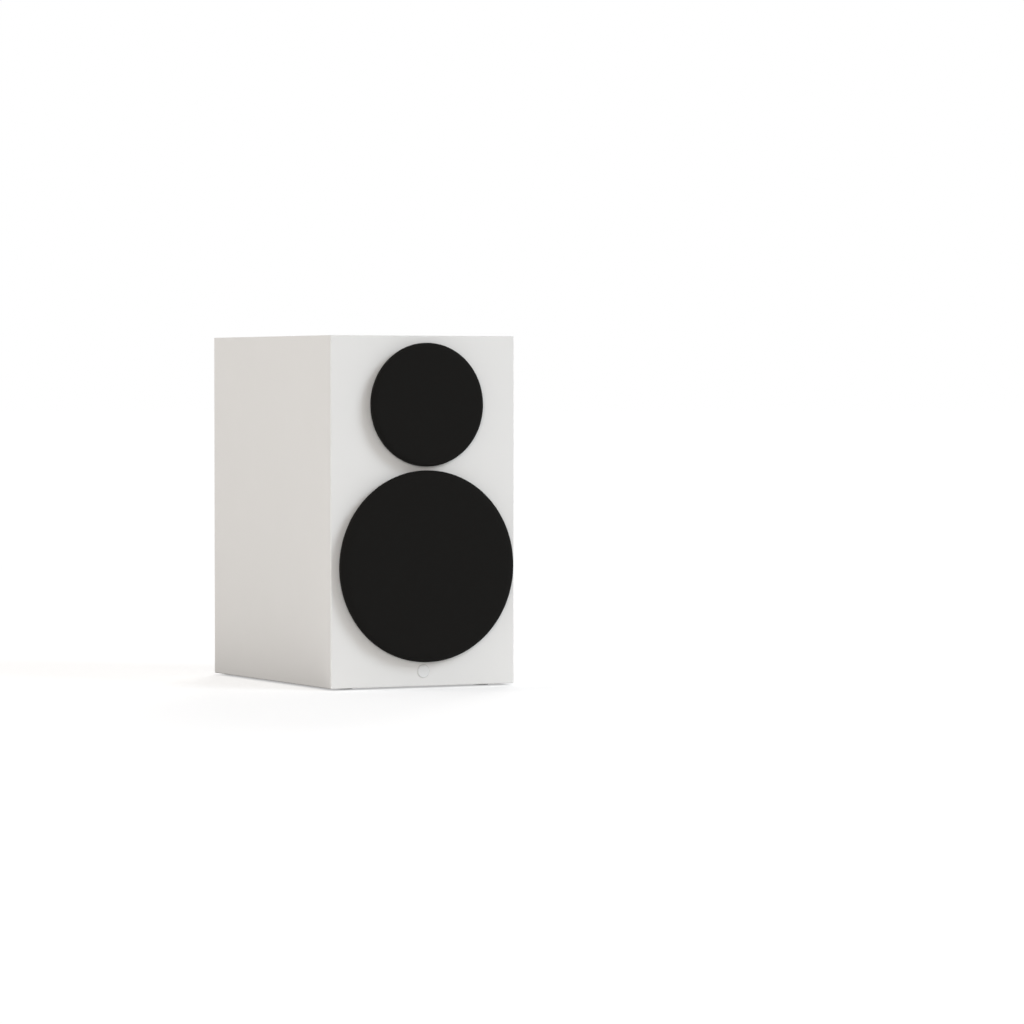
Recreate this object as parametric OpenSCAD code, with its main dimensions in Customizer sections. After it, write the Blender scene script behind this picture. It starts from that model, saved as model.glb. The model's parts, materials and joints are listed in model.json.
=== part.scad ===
// Two-way bookshelf loudspeaker with a rear port and two round magnetic grilles.
// Millimetres. +Z is up, the drivers face -Y and +X is to the right of someone facing the drivers.
// The origin is the centre of the footprint, on the surface that the rubber feet stand on.

/* [Cabinet] */
// Outside width of the cabinet
cabinet_w = 174; // [172:1:190]
// Outside height of the cabinet, without the feet
cabinet_h = 300; // [298:1:320]
// Outside depth of the cabinet, without the grilles and the rear fittings
cabinet_d = 250; // [248:1:300]
// Thickness of the six mitred panels
panel_t = 16; // [15:1:18]
// Height of the rubber feet
foot_h = 1.5; // [1:0.5:3]
// Radius of each rubber foot
foot_r = 8; // [6:1:10]
// Distance from a foot's centre to the nearest cabinet faces
foot_inset = 22; // [14:1:30]
// Thickness of the window brace between the drivers
brace_t = 12; // [9:1:14]

/* [Positions above the cabinet's underside] */
// Height of the woofer's axis
woofer_h = 103; // [100:1:104]
// Height of the tweeter's axis
tweeter_h = 241; // [239:1:243]
// Height of the reflex port's axis
port_h = 228; // [222:1:234]
// Height of the middle of the terminal cup
cup_h = 78; // [70:1:90]
// Height of the middle of the badge
badge_h = 13; // [10:1:14]
// Height of the underside of the brace
brace_h = 172; // [170:1:174]

/* [Grilles] */
// Outside radius of the woofer's grille
woofer_grille_r = 82; // [80:0.5:83]
// Outside radius of the tweeter's grille
tweeter_grille_r = 52.8; // [51:0.2:53]
// Width of the rounded rim of the woofer's grille
woofer_rim_w = 9; // [4:0.5:10]
// Width of the rounded rim of the tweeter's grille
tweeter_rim_w = 5; // [3:0.5:6]
// Distance from the baffle to the front of the fabric
grille_reach = 12; // [11.5:0.5:14]
// Thickness of the stretched fabric
fabric_t = 0.6; // [0.4:0.1:0.8]
// Width of each spoke and inner ring of a grille's frame
spoke_w = 3; // [2:0.5:4]

/* [Woofer] */
// Radius of the woofer's flange
woofer_r = 74; // [72:0.5:74]
// Radius of the middle of the surround's roll
roll_mid_r = 55; // [54:0.5:55.5]
// Outside radius of the roll's section
roll_r = 6; // [5:0.5:6]
// Depth of the cone from its lip to its neck
cone_depth = 25; // [22:0.5:25]
// Radius of the dust cap
dust_cap_r = 20; // [17:0.5:22]
// Outside radius of the ferrite magnet
woofer_magnet_r = 40; // [36:1:44]

/* [Tweeter] */
// Radius of the tweeter's faceplate
tweeter_r = 47; // [46:0.5:47]
// Radius of the silk dome
dome_r = 12.9; // [12.8:0.1:12.9]
// Rise of the dome above its edge
dome_rise = 5.6; // [4.5:0.1:6]
// Outside radius of the tweeter's magnet
tweeter_magnet_r = 32; // [30:0.5:32]

/* [Reflex port] */
// Radius of the port's bore
port_r = 22; // [18:0.5:22]
// Length of the port from the rear panel's face to its inner end
port_len = 120; // [90:1:130]
// Radius of the flare at each end
flare_r = 14; // [10:1:14]

/* [Terminals] */
// Distance between the two binding posts
post_pitch = 28; // [26:1:30]
// Outside radius of a binding post's cap
cap_r = 8; // [7:0.5:8.5]
// Length of a binding post's cap
cap_len = 15.5; // [14:0.5:17]
// Depth of the terminal cup's floor below the rear face
cup_depth = 18; // [17:1:20]

/* [Hidden] */
$fn = 96;
eps = 0.05;

// Planes and axes that the parts share
rear_reach = 4;
face_y = (grille_reach - rear_reach - cabinet_d) / 2;
back_y = face_y + cabinet_d;
mid_y = (face_y + back_y) / 2;
mid_z = foot_h + cabinet_h / 2;
inside_w = cabinet_w - 2 * panel_t;
inside_d = cabinet_d - 2 * panel_t;
woofer_z = foot_h + woofer_h;
tweeter_z = foot_h + tweeter_h;

// Grille planes, measured outwards from the baffle
trim_h = 6;
trim_roof = 3;
seat_gap = 0.3;
frame_back = trim_h + seat_gap;
hem_t = 0.5;
hem_w = 3.5;
rim_side = grille_reach - 3.5;
frame_play = 0.1;
frame_top = grille_reach - fabric_t - frame_play;
spoke_back = 8.6;
ring_step = 0.3;
hub_r = 7;
woofer_frame_inner = 66;
woofer_frame_rings = [23, 45];
tweeter_frame_inner = 40.6;
tweeter_frame_rings = [24];
magnet_t = 2;

// Trim rings: radii of the outside, the roof's and the foot's inner edge, and the hollow's two walls
woofer_trim = [77.6, 64.4, 62.6, 65.1, 75.6];
tweeter_trim = [49.6, 39.6, 37.6, 40.4, 47.4];
trim_edge = 1.4;
trim_bevel = 3;

// Badge and damping pads
badge_r = 5.8;
badge_t = 1.1;
badge_edge = 0.8;
wadding_t = 12;
wadding_gap = 0.4;
wadding_d = 146;
wadding_back = 20;
wadding_pads = [[20, 140], [190, 84]];
brace_rim = 18;
brace_bar = 38;
brace_corner = 12;

// Driver flanges and their fixings
flange_t = 4;
gasket_t = 1;
flange_play = 0.4;
woofer_hole_r = 64;
woofer_screw_ring = 69;
woofer_screw_count = 6;
tweeter_hole_r = 38;
tweeter_screw_ring = 43.5;
tweeter_screw_count = 4;
woofer_magnet_ring = 70;
tweeter_magnet_ring = 43.9;
woofer_seat_r = 3.5;
tweeter_seat_r = 3;
seat_play = 0.05;
pilot_depth = panel_t - 1;
woofer_pilot_r = 2;
tweeter_pilot_r = 1.6;
woofer_screw_hole_r = 2.2;
tweeter_screw_hole_r = 1.7;
woofer_gasket_in = 64.6;
tweeter_gasket_in = 38.6;
driver_screw_len = 14;
hex_depth = 1.2;

// Woofer section, measured outwards from the baffle
ledge_z = -1.6;
surround_t = 0.8;
foot_z = ledge_z + surround_t;
lip_in_r = 44.6;
lip_out_r = 49.6;
lip_z = ledge_z - eps;
cone_t = 0.9;
neck_r = 13;
neck_z = lip_z - cone_depth;
landing_z = -32;
landing_in_r = 35.5;
landing_out_r = 39.5;
landing_t = 2.2;
basket_floor_z = -40;
inner_floor_z = basket_floor_z + 1.8;
basket_floor_in_r = 20;
basket_foot_r = 42;
basket_ledge_r = 60;
basket_step_r = 65.2;
basket_shoulder_r = 62.5;
window_count = 6;
window_angle = 44;
window_in_r = 43.5;
window_w = 15.5;
surround_in_r = 45;
surround_out_r = 65;
dust_cap_rise = 7.5;
dust_cap_t = 0.8;
spider_flat_r = 35.1;
spider_out_r = 39.3;
spider_waves = 4;
spider_t = 0.6;
top_plate_t = 5;
woofer_magnet_t = 15;
yoke_t = 5;
magnet_top_z = basket_floor_z - top_plate_t;
magnet_bottom_z = magnet_top_z - woofer_magnet_t;
pole_r = 12;
vent_r = 4;
plate_bore_r = 14.3;
woofer_magnet_bore_r = 18;
former_r = 12.9;
former_wall = 0.4;
winding_t = 0.7;
winding_len = 12;
winding_top_z = basket_floor_z - top_plate_t / 2 + winding_len / 2;
winding_bottom_z = winding_top_z - winding_len;

// Tweeter section, measured outwards from the baffle
dome_z = -3.6;
dome_t = 0.4;
dome_sphere_r = (dome_r * dome_r + dome_rise * dome_rise) / (2 * dome_rise);
dome_edge_angle = asin(dome_r / dome_sphere_r);
tweeter_seat_z = -7;
tweeter_plate_t = 3;
tweeter_magnet_t = 12;
tweeter_yoke_t = 4;
tweeter_yoke_z = tweeter_seat_z - tweeter_plate_t - tweeter_magnet_t;
chamber_z = tweeter_yoke_z - tweeter_yoke_t;
chamber_r = 22;
chamber_h = 12;
chamber_wall = 2;
tweeter_well_r = 17.2;
guide_in_r = 20;
guide_w = 16;
guide_depth = 3.3;
tweeter_body_r = 36.5;
tweeter_surround_mid_r = 15.05;
tweeter_roll_r = 2;
tweeter_surround_out_r = 19.8;
tweeter_coil_in_r = 12.45;
tweeter_coil_wall = 0.3;
tweeter_winding_out_r = 13.15;
tweeter_coil_bottom_z = -9.8;
tweeter_winding_top_z = -7.2;
tweeter_plate_bore_r = 13.6;
tweeter_magnet_bore_r = 16;
tweeter_pole_r = 12.1;

// Reflex port's moulding
port_wall = 2.5;
port_flange_w = 4;
port_flange_t = 2.6;
inner_flare_r = 12;

// Terminal cup and posts, measured outwards from the rear face
cup_w = 96;
cup_tall = 76;
cup_corner = 10;
recess_w = 76;
recess_tall = 56;
recess_corner = 6;
cup_wall = 2.5;
cup_gasket_t = 1;
cup_screw_x = 42;
cup_screw_y = 32;
stem_r = 3.9;
collar_r = 6.5;
collar_t = 3;
collar_top = collar_t - cup_depth;
stem_mouth = -1.5;
stem_tail = -34;
socket_r = 2.05;
socket_len = 14;
washer_t = 1.5;
washer_r = 6.8;
thread_play = 0.07;
insert_r = 5.4;
plug_hole_r = 2.6;
cap_lip_t = 1.7;
cap_step = 0.3;
cap_edge = 1;
flute_count = 14;
flute_r = 1.1;
cap_base = collar_top + washer_t + 0.2;
cap_top = cap_base + cap_len;
cross_hole_r = 1.3;
cross_hole_z = collar_top + 2.2;
cup_screw_hole_r = 1.7;
cup_screw_head_r = 3.2;
cup_screw_head_h = 1.6;
cutout_play = 0.3;

// Crossover board, measured from the inside of the bottom panel
board_w = 100;
board_d = 80;
board_t = 1.6;
standoff_h = 5;
board_depth = 120;
board_top_h = panel_t + standoff_h + board_t;
standoff_r = 2.5;
standoff_inset = 4;
wire_r = 1.1;
wire_rings = 26;
tinsel_r = 0.6;
tinsel_rings = 16;

// Parts on the board: inductors as x, y, outer and inner radius, height; capacitors as x, y, length, radius
inductors = [[-27, 26, 21, 9, 20], [32, 19, 13, 5, 13]];
capacitors = [[6, 4, 32, 8], [34, 42, 30, 7], [14, 44, 28, 6]];
resistors = [[-33, 52], [-33, 65]];
resistor_size = [26, 8, 8];

// ---------------------------------------------------------------- shared shapes

function arc(x, y, rx, ry, from, to, steps) =
    [for (i = [0 : steps]) let (a = from + (to - from) * i / steps) [x + rx * cos(a), y + ry * sin(a)]];

function backwards(points) = [for (i = [len(points) - 1 : -1 : 0]) points[i]];

// A point inside the cabinet: sideways, behind the baffle's face, above the cabinet's underside
function inside(x, depth, height) = [x, face_y + depth, foot_h + height];

// Height of the cone's front surface at a radius
function cone_z(r) =
    let (u = (r - neck_r) / (lip_in_r - neck_r))
    neck_z + cone_depth * (1 - pow(1 - min(u, 1), 1.3));

// Places a part made around +Z on an axis that leaves the baffle at a height
module front_axis(z)
    translate([0, face_y, z])
        rotate([90, 0, 0])
            children();

// Places a part made around +Z on an axis that leaves the rear panel
module rear_axis(x, z)
    translate([x, back_y, z])
        rotate([-90, 0, 0])
            children();

module around(count, radius, start = 0)
    for (i = [0 : count - 1])
        rotate([0, 0, start + i * 360 / count])
            translate([radius, 0, 0])
                children();

module ring(outer, inner, bottom, top)
    rotate_extrude()
        translate([inner, bottom])
            square([outer - inner, top - bottom]);

module disc(radius, bottom, top)
    translate([0, 0, bottom])
        cylinder(r = radius, h = top - bottom);

module round_rectangle(w, h, corner) {
    square([w - 2 * corner, h], center = true);
    square([w, h - 2 * corner], center = true);
    for (x = [-1, 1], y = [-1, 1])
        translate([x * (w / 2 - corner), y * (h / 2 - corner)])
            circle(r = corner);
}

module round_plate(w, h, corner, bottom, top)
    translate([0, 0, bottom])
        linear_extrude(height = top - bottom)
            round_rectangle(w, h, corner);

// Panel with its outer face at z = 0 and its four edges mitred at 45 degrees
module mitred_panel(w, h)
    intersection() {
        rotate([90, 0, 0])
            linear_extrude(height = h, center = true)
                mitre_outline(w);
        rotate([90, 0, 90])
            linear_extrude(height = w, center = true)
                mitre_outline(h);
    }

module mitre_outline(length)
    polygon([
        [-length / 2, 0], [length / 2, 0],
        [length / 2 - panel_t, -panel_t], [-length / 2 + panel_t, -panel_t]
    ]);

module on_front() translate([0, face_y, mid_z]) rotate([90, 0, 0]) children();
module on_back() translate([0, back_y, mid_z]) rotate([-90, 0, 0]) children();
module on_left() translate([-cabinet_w / 2, mid_y, mid_z]) rotate([0, -90, 0]) children();
module on_right() translate([cabinet_w / 2, mid_y, mid_z]) rotate([0, 90, 0]) children();
module on_top() translate([0, mid_y, foot_h + cabinet_h]) children();
module on_bottom() translate([0, mid_y, foot_h]) rotate([180, 0, 0]) children();

// ---------------------------------------------------------------- cabinet

module front_baffle()
    color("whitesmoke")
        difference() {
            on_front() mitred_panel(cabinet_w, cabinet_h);
            driver_seat(woofer_z, woofer_r, woofer_hole_r, woofer_screw_ring, woofer_screw_count,
                woofer_pilot_r);
            driver_seat(tweeter_z, tweeter_r, tweeter_hole_r, tweeter_screw_ring, tweeter_screw_count,
                tweeter_pilot_r);
        }

// Rebate, through hole and pilot holes for one driver
module driver_seat(z, flange_r, hole_r, screw_ring, screw_count, pilot_r)
    front_axis(z) {
        disc(flange_r + flange_play, -flange_t - gasket_t, 1);
        disc(hole_r, -panel_t - 1, 0);
        around(screw_count, screw_ring, 180 / screw_count)
            disc(pilot_r, -pilot_depth, 0);
    }

module rear_panel()
    color("whitesmoke")
        difference() {
            on_back() mitred_panel(cabinet_w, cabinet_h);
            rear_axis(0, foot_h + port_h)
                disc(port_r + flare_r + cutout_play, -panel_t - 1, 1);
            rear_axis(0, foot_h + cup_h) {
                cup_body(cutout_play, -panel_t - 1, 1);
                at_cup_screws()
                    disc(1.5, -pilot_depth, 1);
            }
        }

module left_panel()
    color("whitesmoke")
        on_left() mitred_panel(cabinet_h, cabinet_d);

module right_panel()
    color("whitesmoke")
        on_right() mitred_panel(cabinet_h, cabinet_d);

module top_panel()
    color("whitesmoke")
        on_top() mitred_panel(cabinet_w, cabinet_d);

module bottom_panel()
    color("whitesmoke")
        on_bottom() mitred_panel(cabinet_w, cabinet_d);

module window_brace()
    color("burlywood")
        translate([0, mid_y, foot_h + brace_h])
            linear_extrude(height = brace_t)
                difference() {
                    square([inside_w, inside_d], center = true);
                    for (side = [-1, 1])
                        translate([0, side * (inside_d - brace_rim + brace_bar / 2) / 4])
                            round_rectangle(inside_w - 2 * brace_rim,
                                (inside_d - 2 * brace_rim - brace_bar) / 2, brace_corner);
                }

// Two pads on one side panel, below and above the brace
module wadding(side)
    color("gainsboro")
        for (pad = wadding_pads)
            let (x = side * (inside_w / 2 - wadding_gap - wadding_t / 2))
            translate([x, mid_y + wadding_back, foot_h + pad[0]])
                linear_extrude(height = pad[1])
                    square([wadding_t, wadding_d], center = true);

module rubber_feet()
    color("black")
        for (x = [-1, 1], y = [face_y + foot_inset, back_y - foot_inset])
            translate([x * (cabinet_w / 2 - foot_inset), y, 0])
                cylinder(r = foot_r, h = foot_h);

module badge()
    color("white")
        front_axis(foot_h + badge_h)
            rotate_extrude()
                polygon(concat(
                    [[0, 0], [badge_r, 0]],
                    arc(badge_r - badge_edge, badge_t / 2, badge_edge, badge_t / 2, 0, 90, 5),
                    [[0, badge_t]]
                ));

// ---------------------------------------------------------------- grilles

// Outline of a grille's side and rounded front edge, from the back up to the flat front
function rim(radius, rim_w, back, front) =
    concat([[radius, back]], arc(radius - rim_w, rim_side, rim_w, front - rim_side, 0, 90, 10));

module grille_frame(radius, rim_w, inner, ring_radii, spoke_count, seat_ring, seat_r)
    color("black")
        difference() {
            union() {
                rotate_extrude()
                    polygon(concat(
                        [[inner, frame_back]],
                        rim(radius - fabric_t - frame_play, rim_w - fabric_t, frame_back, frame_top),
                        [[inner, frame_top]]
                    ));
                for (r = ring_radii)
                    ring(r + spoke_w / 2, r - spoke_w / 2, spoke_back + ring_step, frame_top - ring_step);
                disc(hub_r, spoke_back + ring_step, frame_top - ring_step);
                around(spoke_count, hub_r - 1)
                    translate([0, -spoke_w / 2, spoke_back])
                        cube([inner + 2 - hub_r, spoke_w, frame_top - spoke_back]);
            }
            around(spoke_count, seat_ring)
                disc(seat_r + seat_play, frame_back - 1, frame_back + magnet_t + seat_play);
        }

module grille_fabric(radius, rim_w)
    color([0.1, 0.1, 0.095])
        rotate_extrude()
            polygon(concat(
                [[radius - hem_w, frame_back - hem_t - eps]],
                rim(radius, rim_w, frame_back - hem_t - eps, grille_reach),
                [[0, grille_reach], [0, grille_reach - fabric_t]],
                backwards(rim(radius - fabric_t, rim_w - fabric_t, frame_back - eps, grille_reach - fabric_t)),
                [[radius - hem_w, frame_back - eps]]
            ));

module grille_magnets(count, seat_ring, seat_r)
    color("silver")
        around(count, seat_ring)
            disc(seat_r, frame_back, frame_back + magnet_t);

// Hollow ring that hides a driver's screws and carries the grille's magnets
module trim_ring(radii, foot_bottom, count, seat_ring, seat_r)
    let (outer = radii[0], roof_inner = radii[1], foot_inner = radii[2],
        hollow_in = radii[3], hollow_out = radii[4])
    color("black")
        difference() {
            rotate_extrude()
                polygon([
                    [hollow_out, 0], [outer, 0], [outer, trim_h - trim_edge], [outer - trim_edge, trim_h],
                    [roof_inner, trim_h], [foot_inner, trim_h - trim_bevel], [foot_inner, foot_bottom],
                    [hollow_in, foot_bottom], [hollow_in, trim_roof], [hollow_out, trim_roof]
                ]);
            around(count, seat_ring)
                disc(seat_r + seat_play, trim_roof - 1, trim_h + 1);
        }

module ring_magnets(count, seat_ring, seat_r)
    color("silver")
        around(count, seat_ring)
            disc(seat_r, trim_roof, trim_h);

module woofer_grille_frame()
    front_axis(woofer_z)
        grille_frame(woofer_grille_r, woofer_rim_w, woofer_frame_inner, woofer_frame_rings,
            woofer_screw_count, woofer_magnet_ring, woofer_seat_r);

module woofer_grille_fabric()
    front_axis(woofer_z)
        grille_fabric(woofer_grille_r, woofer_rim_w);

module woofer_grille_magnets()
    front_axis(woofer_z)
        grille_magnets(woofer_screw_count, woofer_magnet_ring, woofer_seat_r);

module tweeter_grille_frame()
    front_axis(tweeter_z)
        grille_frame(tweeter_grille_r, tweeter_rim_w, tweeter_frame_inner, tweeter_frame_rings,
            tweeter_screw_count, tweeter_magnet_ring, tweeter_seat_r);

module tweeter_grille_fabric()
    front_axis(tweeter_z)
        grille_fabric(tweeter_grille_r, tweeter_rim_w);

module tweeter_grille_magnets()
    front_axis(tweeter_z)
        grille_magnets(tweeter_screw_count, tweeter_magnet_ring, tweeter_seat_r);

module woofer_trim_ring()
    front_axis(woofer_z)
        trim_ring(woofer_trim, foot_z + eps, woofer_screw_count, woofer_magnet_ring, woofer_seat_r);

module woofer_ring_magnets()
    front_axis(woofer_z)
        ring_magnets(woofer_screw_count, woofer_magnet_ring, woofer_seat_r);

module tweeter_trim_ring()
    front_axis(tweeter_z)
        trim_ring(tweeter_trim, 0, tweeter_screw_count, tweeter_magnet_ring, tweeter_seat_r);

module tweeter_ring_magnets()
    front_axis(tweeter_z)
        ring_magnets(tweeter_screw_count, tweeter_magnet_ring, tweeter_seat_r);

// ---------------------------------------------------------------- woofer

module woofer_basket()
    color("dimgray")
        front_axis(woofer_z)
            difference() {
                rotate_extrude()
                    polygon([
                        [basket_ledge_r, ledge_z], [basket_step_r, ledge_z], [basket_step_r, 0],
                        [woofer_r, 0], [woofer_r, -flange_t], [basket_shoulder_r, -flange_t],
                        [basket_foot_r, landing_z], [basket_foot_r, basket_floor_z],
                        [basket_floor_in_r, basket_floor_z], [basket_floor_in_r, inner_floor_z],
                        [landing_out_r, inner_floor_z], [landing_out_r, landing_z - landing_t],
                        [landing_in_r, landing_z - landing_t], [landing_in_r, landing_z],
                        [landing_out_r, landing_z], [basket_ledge_r, -flange_t]
                    ]);
                for (i = [0 : window_count - 1])
                    rotate([0, 0, 360 / window_count * i - window_angle / 2])
                        rotate_extrude(angle = window_angle)
                            translate([window_in_r, landing_z - 1])
                                square([window_w, -landing_z - 2]);
                around(woofer_screw_count, woofer_screw_ring, 180 / woofer_screw_count)
                    disc(woofer_screw_hole_r, -flange_t - 1, 1);
            }

module woofer_gasket()
    color("black")
        front_axis(woofer_z)
            difference() {
                ring(woofer_r, woofer_gasket_in, -flange_t - gasket_t, -flange_t);
                around(woofer_screw_count, woofer_screw_ring, 180 / woofer_screw_count)
                    disc(woofer_screw_hole_r, -flange_t - gasket_t - 1, 0);
            }

// Pan-head screws with a hexagon socket
module driver_screws(count, screw_ring, head_r, head_h, shank_r)
    color([0.15, 0.15, 0.15])
        around(count, screw_ring, 180 / count)
            difference() {
                union() {
                    disc(head_r, 0, head_h);
                    disc(shank_r, -driver_screw_len, 0);
                }
                translate([0, 0, head_h - hex_depth])
                    cylinder(r = head_r / 2, h = 2 * hex_depth, $fn = 6);
            }

module woofer_screws()
    front_axis(woofer_z)
        driver_screws(woofer_screw_count, woofer_screw_ring, 3.6, 2.2, 1.9);

// Half-roll surround: its outer foot is on the basket and its inner foot on the cone's lip
module woofer_surround()
    color([0.12, 0.12, 0.12])
        front_axis(woofer_z)
            rotate_extrude()
                polygon(concat(
                    [[surround_in_r, ledge_z], [surround_in_r, foot_z]],
                    arc(roll_mid_r, foot_z, roll_r, roll_r, 180, 0, 16),
                    [[surround_out_r, foot_z], [surround_out_r, ledge_z],
                        [roll_mid_r + roll_r - surround_t, ledge_z]],
                    arc(roll_mid_r, foot_z, roll_r - surround_t, roll_r - surround_t, 0, 180, 16),
                    [[roll_mid_r - roll_r + surround_t, ledge_z]]
                ));

module woofer_cone()
    color([0.2, 0.2, 0.2])
        front_axis(woofer_z)
            rotate_extrude()
                polygon(concat(
                    [[lip_out_r, lip_z - cone_t], [lip_out_r, lip_z]],
                    backwards(cone_line(0)),
                    cone_line(cone_t)
                ));

// The cone's front surface from neck to lip, lowered by a depth
function cone_line(depth) =
    [for (i = [0 : 12]) let (r = neck_r + (lip_in_r - neck_r) * i / 12) [r, cone_z(r) - depth]];

module woofer_dust_cap()
    color([0.16, 0.16, 0.16])
        front_axis(woofer_z)
            let (sphere_r = (dust_cap_r * dust_cap_r + dust_cap_rise * dust_cap_rise) / (2 * dust_cap_rise),
                edge = asin(dust_cap_r / sphere_r),
                mid = cone_z(dust_cap_r) + eps + dust_cap_rise - sphere_r)
                intersection() {
                    rotate_extrude()
                        polygon(concat(
                            arc(0, mid, sphere_r, sphere_r, 90, 90 - edge, 14),
                            arc(0, mid, sphere_r - dust_cap_t, sphere_r - dust_cap_t, 90 - edge, 90, 14)
                        ));
                    disc(dust_cap_r, cone_z(dust_cap_r) + eps, 0);
                }

// Corrugated disc that centres the coil: thin cloth between the former and the basket's landing
module woofer_spider()
    color("goldenrod")
        front_axis(woofer_z)
            let (inner = former_r + eps, steps = 24, foot = landing_z + eps,
                wave = [for (i = [0 : steps]) let (part = i / steps)
                    [inner + (spider_flat_r - inner) * part, foot + sin(360 * spider_waves * part)]])
                rotate_extrude()
                    polygon(concat(
                        [for (p = wave) [p[0], p[1] + spider_t]],
                        [[spider_out_r, foot + spider_t], [spider_out_r, foot]],
                        backwards(wave)
                    ));

module woofer_coil_former()
    color("silver")
        front_axis(woofer_z)
            ring(former_r, former_r - former_wall, winding_bottom_z, neck_z + 3);

module woofer_coil_winding()
    color("peru")
        front_axis(woofer_z)
            ring(former_r + winding_t, former_r + eps, winding_bottom_z, winding_top_z);

module woofer_top_plate()
    color("silver")
        front_axis(woofer_z)
            ring(woofer_magnet_r, plate_bore_r, magnet_top_z, basket_floor_z);

module woofer_magnet()
    color([0.25, 0.25, 0.27])
        front_axis(woofer_z)
            ring(woofer_magnet_r, woofer_magnet_bore_r, magnet_bottom_z, magnet_top_z);

module woofer_yoke()
    color("silver")
        front_axis(woofer_z)
            yoke(woofer_magnet_r - 2, yoke_t, magnet_bottom_z, pole_r, basket_floor_z);

// Back plate and vented pole piece, turned from one piece
module yoke(plate_r, plate_t, plate_top, centre_r, centre_top)
    difference() {
        union() {
            disc(plate_r, plate_top - plate_t, plate_top);
            disc(centre_r, plate_top - 1, centre_top);
        }
        disc(vent_r, plate_top - plate_t - 1, centre_top + 1);
    }

// Tag strip on a driver's side, with two lugs that point away from the axis
module terminal_strip(side, radius, half_w, bottom, top, lug_y, lug_z, lug_len)
    color("tan")
        mirror([side < 0 ? 1 : 0, 0, 0]) {
            translate([radius, -half_w, bottom])
                cube([1.8, 2 * half_w, top - bottom]);
            for (y = [-1, 1])
                translate([radius + 1, y * lug_y - 1.4, lug_z])
                    cube([lug_len, 2.8, 0.8]);
        }

module woofer_terminal_strip()
    front_axis(woofer_z)
        terminal_strip(-1, basket_foot_r + 0.1, 9, basket_floor_z, landing_z - 0.2, 5, -37, 6);

// Braided leads from the tag strip through a basket window to the back of the cone
module woofer_tinsel_leads()
    color("chocolate")
        front_axis(woofer_z)
            for (side = [-1, 1])
                wire([
                    [-46, 5 * side, -35.8], [-48.5, 5 * side, -30.5], [-46.5, 5 * side, -26],
                    [-38, 5 * side, -25], [-30, 5 * side, -22.5],
                    [-24.5, 4.6 * side, cone_z(25) - cone_t - 1.1]
                ], tinsel_r, tinsel_rings);

// ---------------------------------------------------------------- tweeter

module tweeter_faceplate()
    color([0.1, 0.1, 0.1])
        front_axis(tweeter_z)
            difference() {
                rotate_extrude()
                    polygon(concat(
                        [[tweeter_well_r, tweeter_seat_z], [tweeter_well_r, dome_z - dome_t],
                            [guide_in_r, dome_z - dome_t]],
                        [for (i = [0 : 8]) let (part = i / 8)
                            [guide_in_r + guide_w * part, -guide_depth * pow(1 - part, 1.7)]],
                        [[tweeter_r, 0], [tweeter_r, -flange_t], [tweeter_body_r, -flange_t],
                            [tweeter_body_r, tweeter_seat_z]]
                    ));
                around(tweeter_screw_count, tweeter_screw_ring, 180 / tweeter_screw_count)
                    disc(tweeter_screw_hole_r, -flange_t - 1, 1);
            }

module tweeter_gasket()
    color("black")
        front_axis(tweeter_z)
            difference() {
                ring(tweeter_r, tweeter_gasket_in, -flange_t - gasket_t, -flange_t);
                around(tweeter_screw_count, tweeter_screw_ring, 180 / tweeter_screw_count)
                    disc(tweeter_screw_hole_r, -flange_t - gasket_t - 1, 0);
            }

module tweeter_screws()
    front_axis(tweeter_z)
        driver_screws(tweeter_screw_count, tweeter_screw_ring, 2.8, 1.8, 1.5);

module tweeter_dome()
    color([0.1, 0.1, 0.1])
        front_axis(tweeter_z)
            let (mid = dome_z + dome_rise - dome_sphere_r)
                rotate_extrude()
                    polygon(concat(
                        arc(0, mid, dome_sphere_r, dome_sphere_r, 90, 90 - dome_edge_angle, 14),
                        arc(0, mid, dome_sphere_r - dome_t, dome_sphere_r - dome_t,
                            90 - dome_edge_angle, 90, 14)
                    ));

module tweeter_surround()
    color([0.1, 0.1, 0.1])
        front_axis(tweeter_z)
            let (roll = tweeter_roll_r, mid = tweeter_surround_mid_r, foot = dome_z - dome_t + eps / 2)
                rotate_extrude()
                    polygon(concat(
                        [[mid - roll, dome_z - dome_t]],
                        arc(mid, dome_z, roll, roll, 180, 0, 12),
                        [[tweeter_surround_out_r, dome_z], [tweeter_surround_out_r, foot],
                            [mid + roll - dome_t, foot]],
                        arc(mid, dome_z, roll - dome_t, roll - dome_t, 0, 180, 12),
                        [[mid - roll + dome_t, dome_z - dome_t]]
                    ));

module tweeter_voice_coil()
    color("peru")
        front_axis(tweeter_z)
            let (inner = tweeter_coil_in_r, outer = tweeter_coil_in_r + tweeter_coil_wall,
                top = dome_z - dome_t - eps)
                rotate_extrude()
                    polygon([
                        [inner, tweeter_coil_bottom_z], [tweeter_winding_out_r, tweeter_coil_bottom_z],
                        [tweeter_winding_out_r, tweeter_winding_top_z], [outer, tweeter_winding_top_z],
                        [outer, top], [inner, top]
                    ]);

module tweeter_top_plate()
    color("silver")
        front_axis(tweeter_z)
            ring(tweeter_magnet_r - 1, tweeter_plate_bore_r, tweeter_seat_z - tweeter_plate_t,
                tweeter_seat_z);

module tweeter_magnet()
    color([0.25, 0.25, 0.27])
        front_axis(tweeter_z)
            ring(tweeter_magnet_r, tweeter_magnet_bore_r, tweeter_yoke_z, tweeter_seat_z - tweeter_plate_t);

module tweeter_yoke()
    color("silver")
        front_axis(tweeter_z)
            yoke(tweeter_magnet_r - 2, tweeter_yoke_t, tweeter_yoke_z, tweeter_pole_r, tweeter_seat_z);

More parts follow.
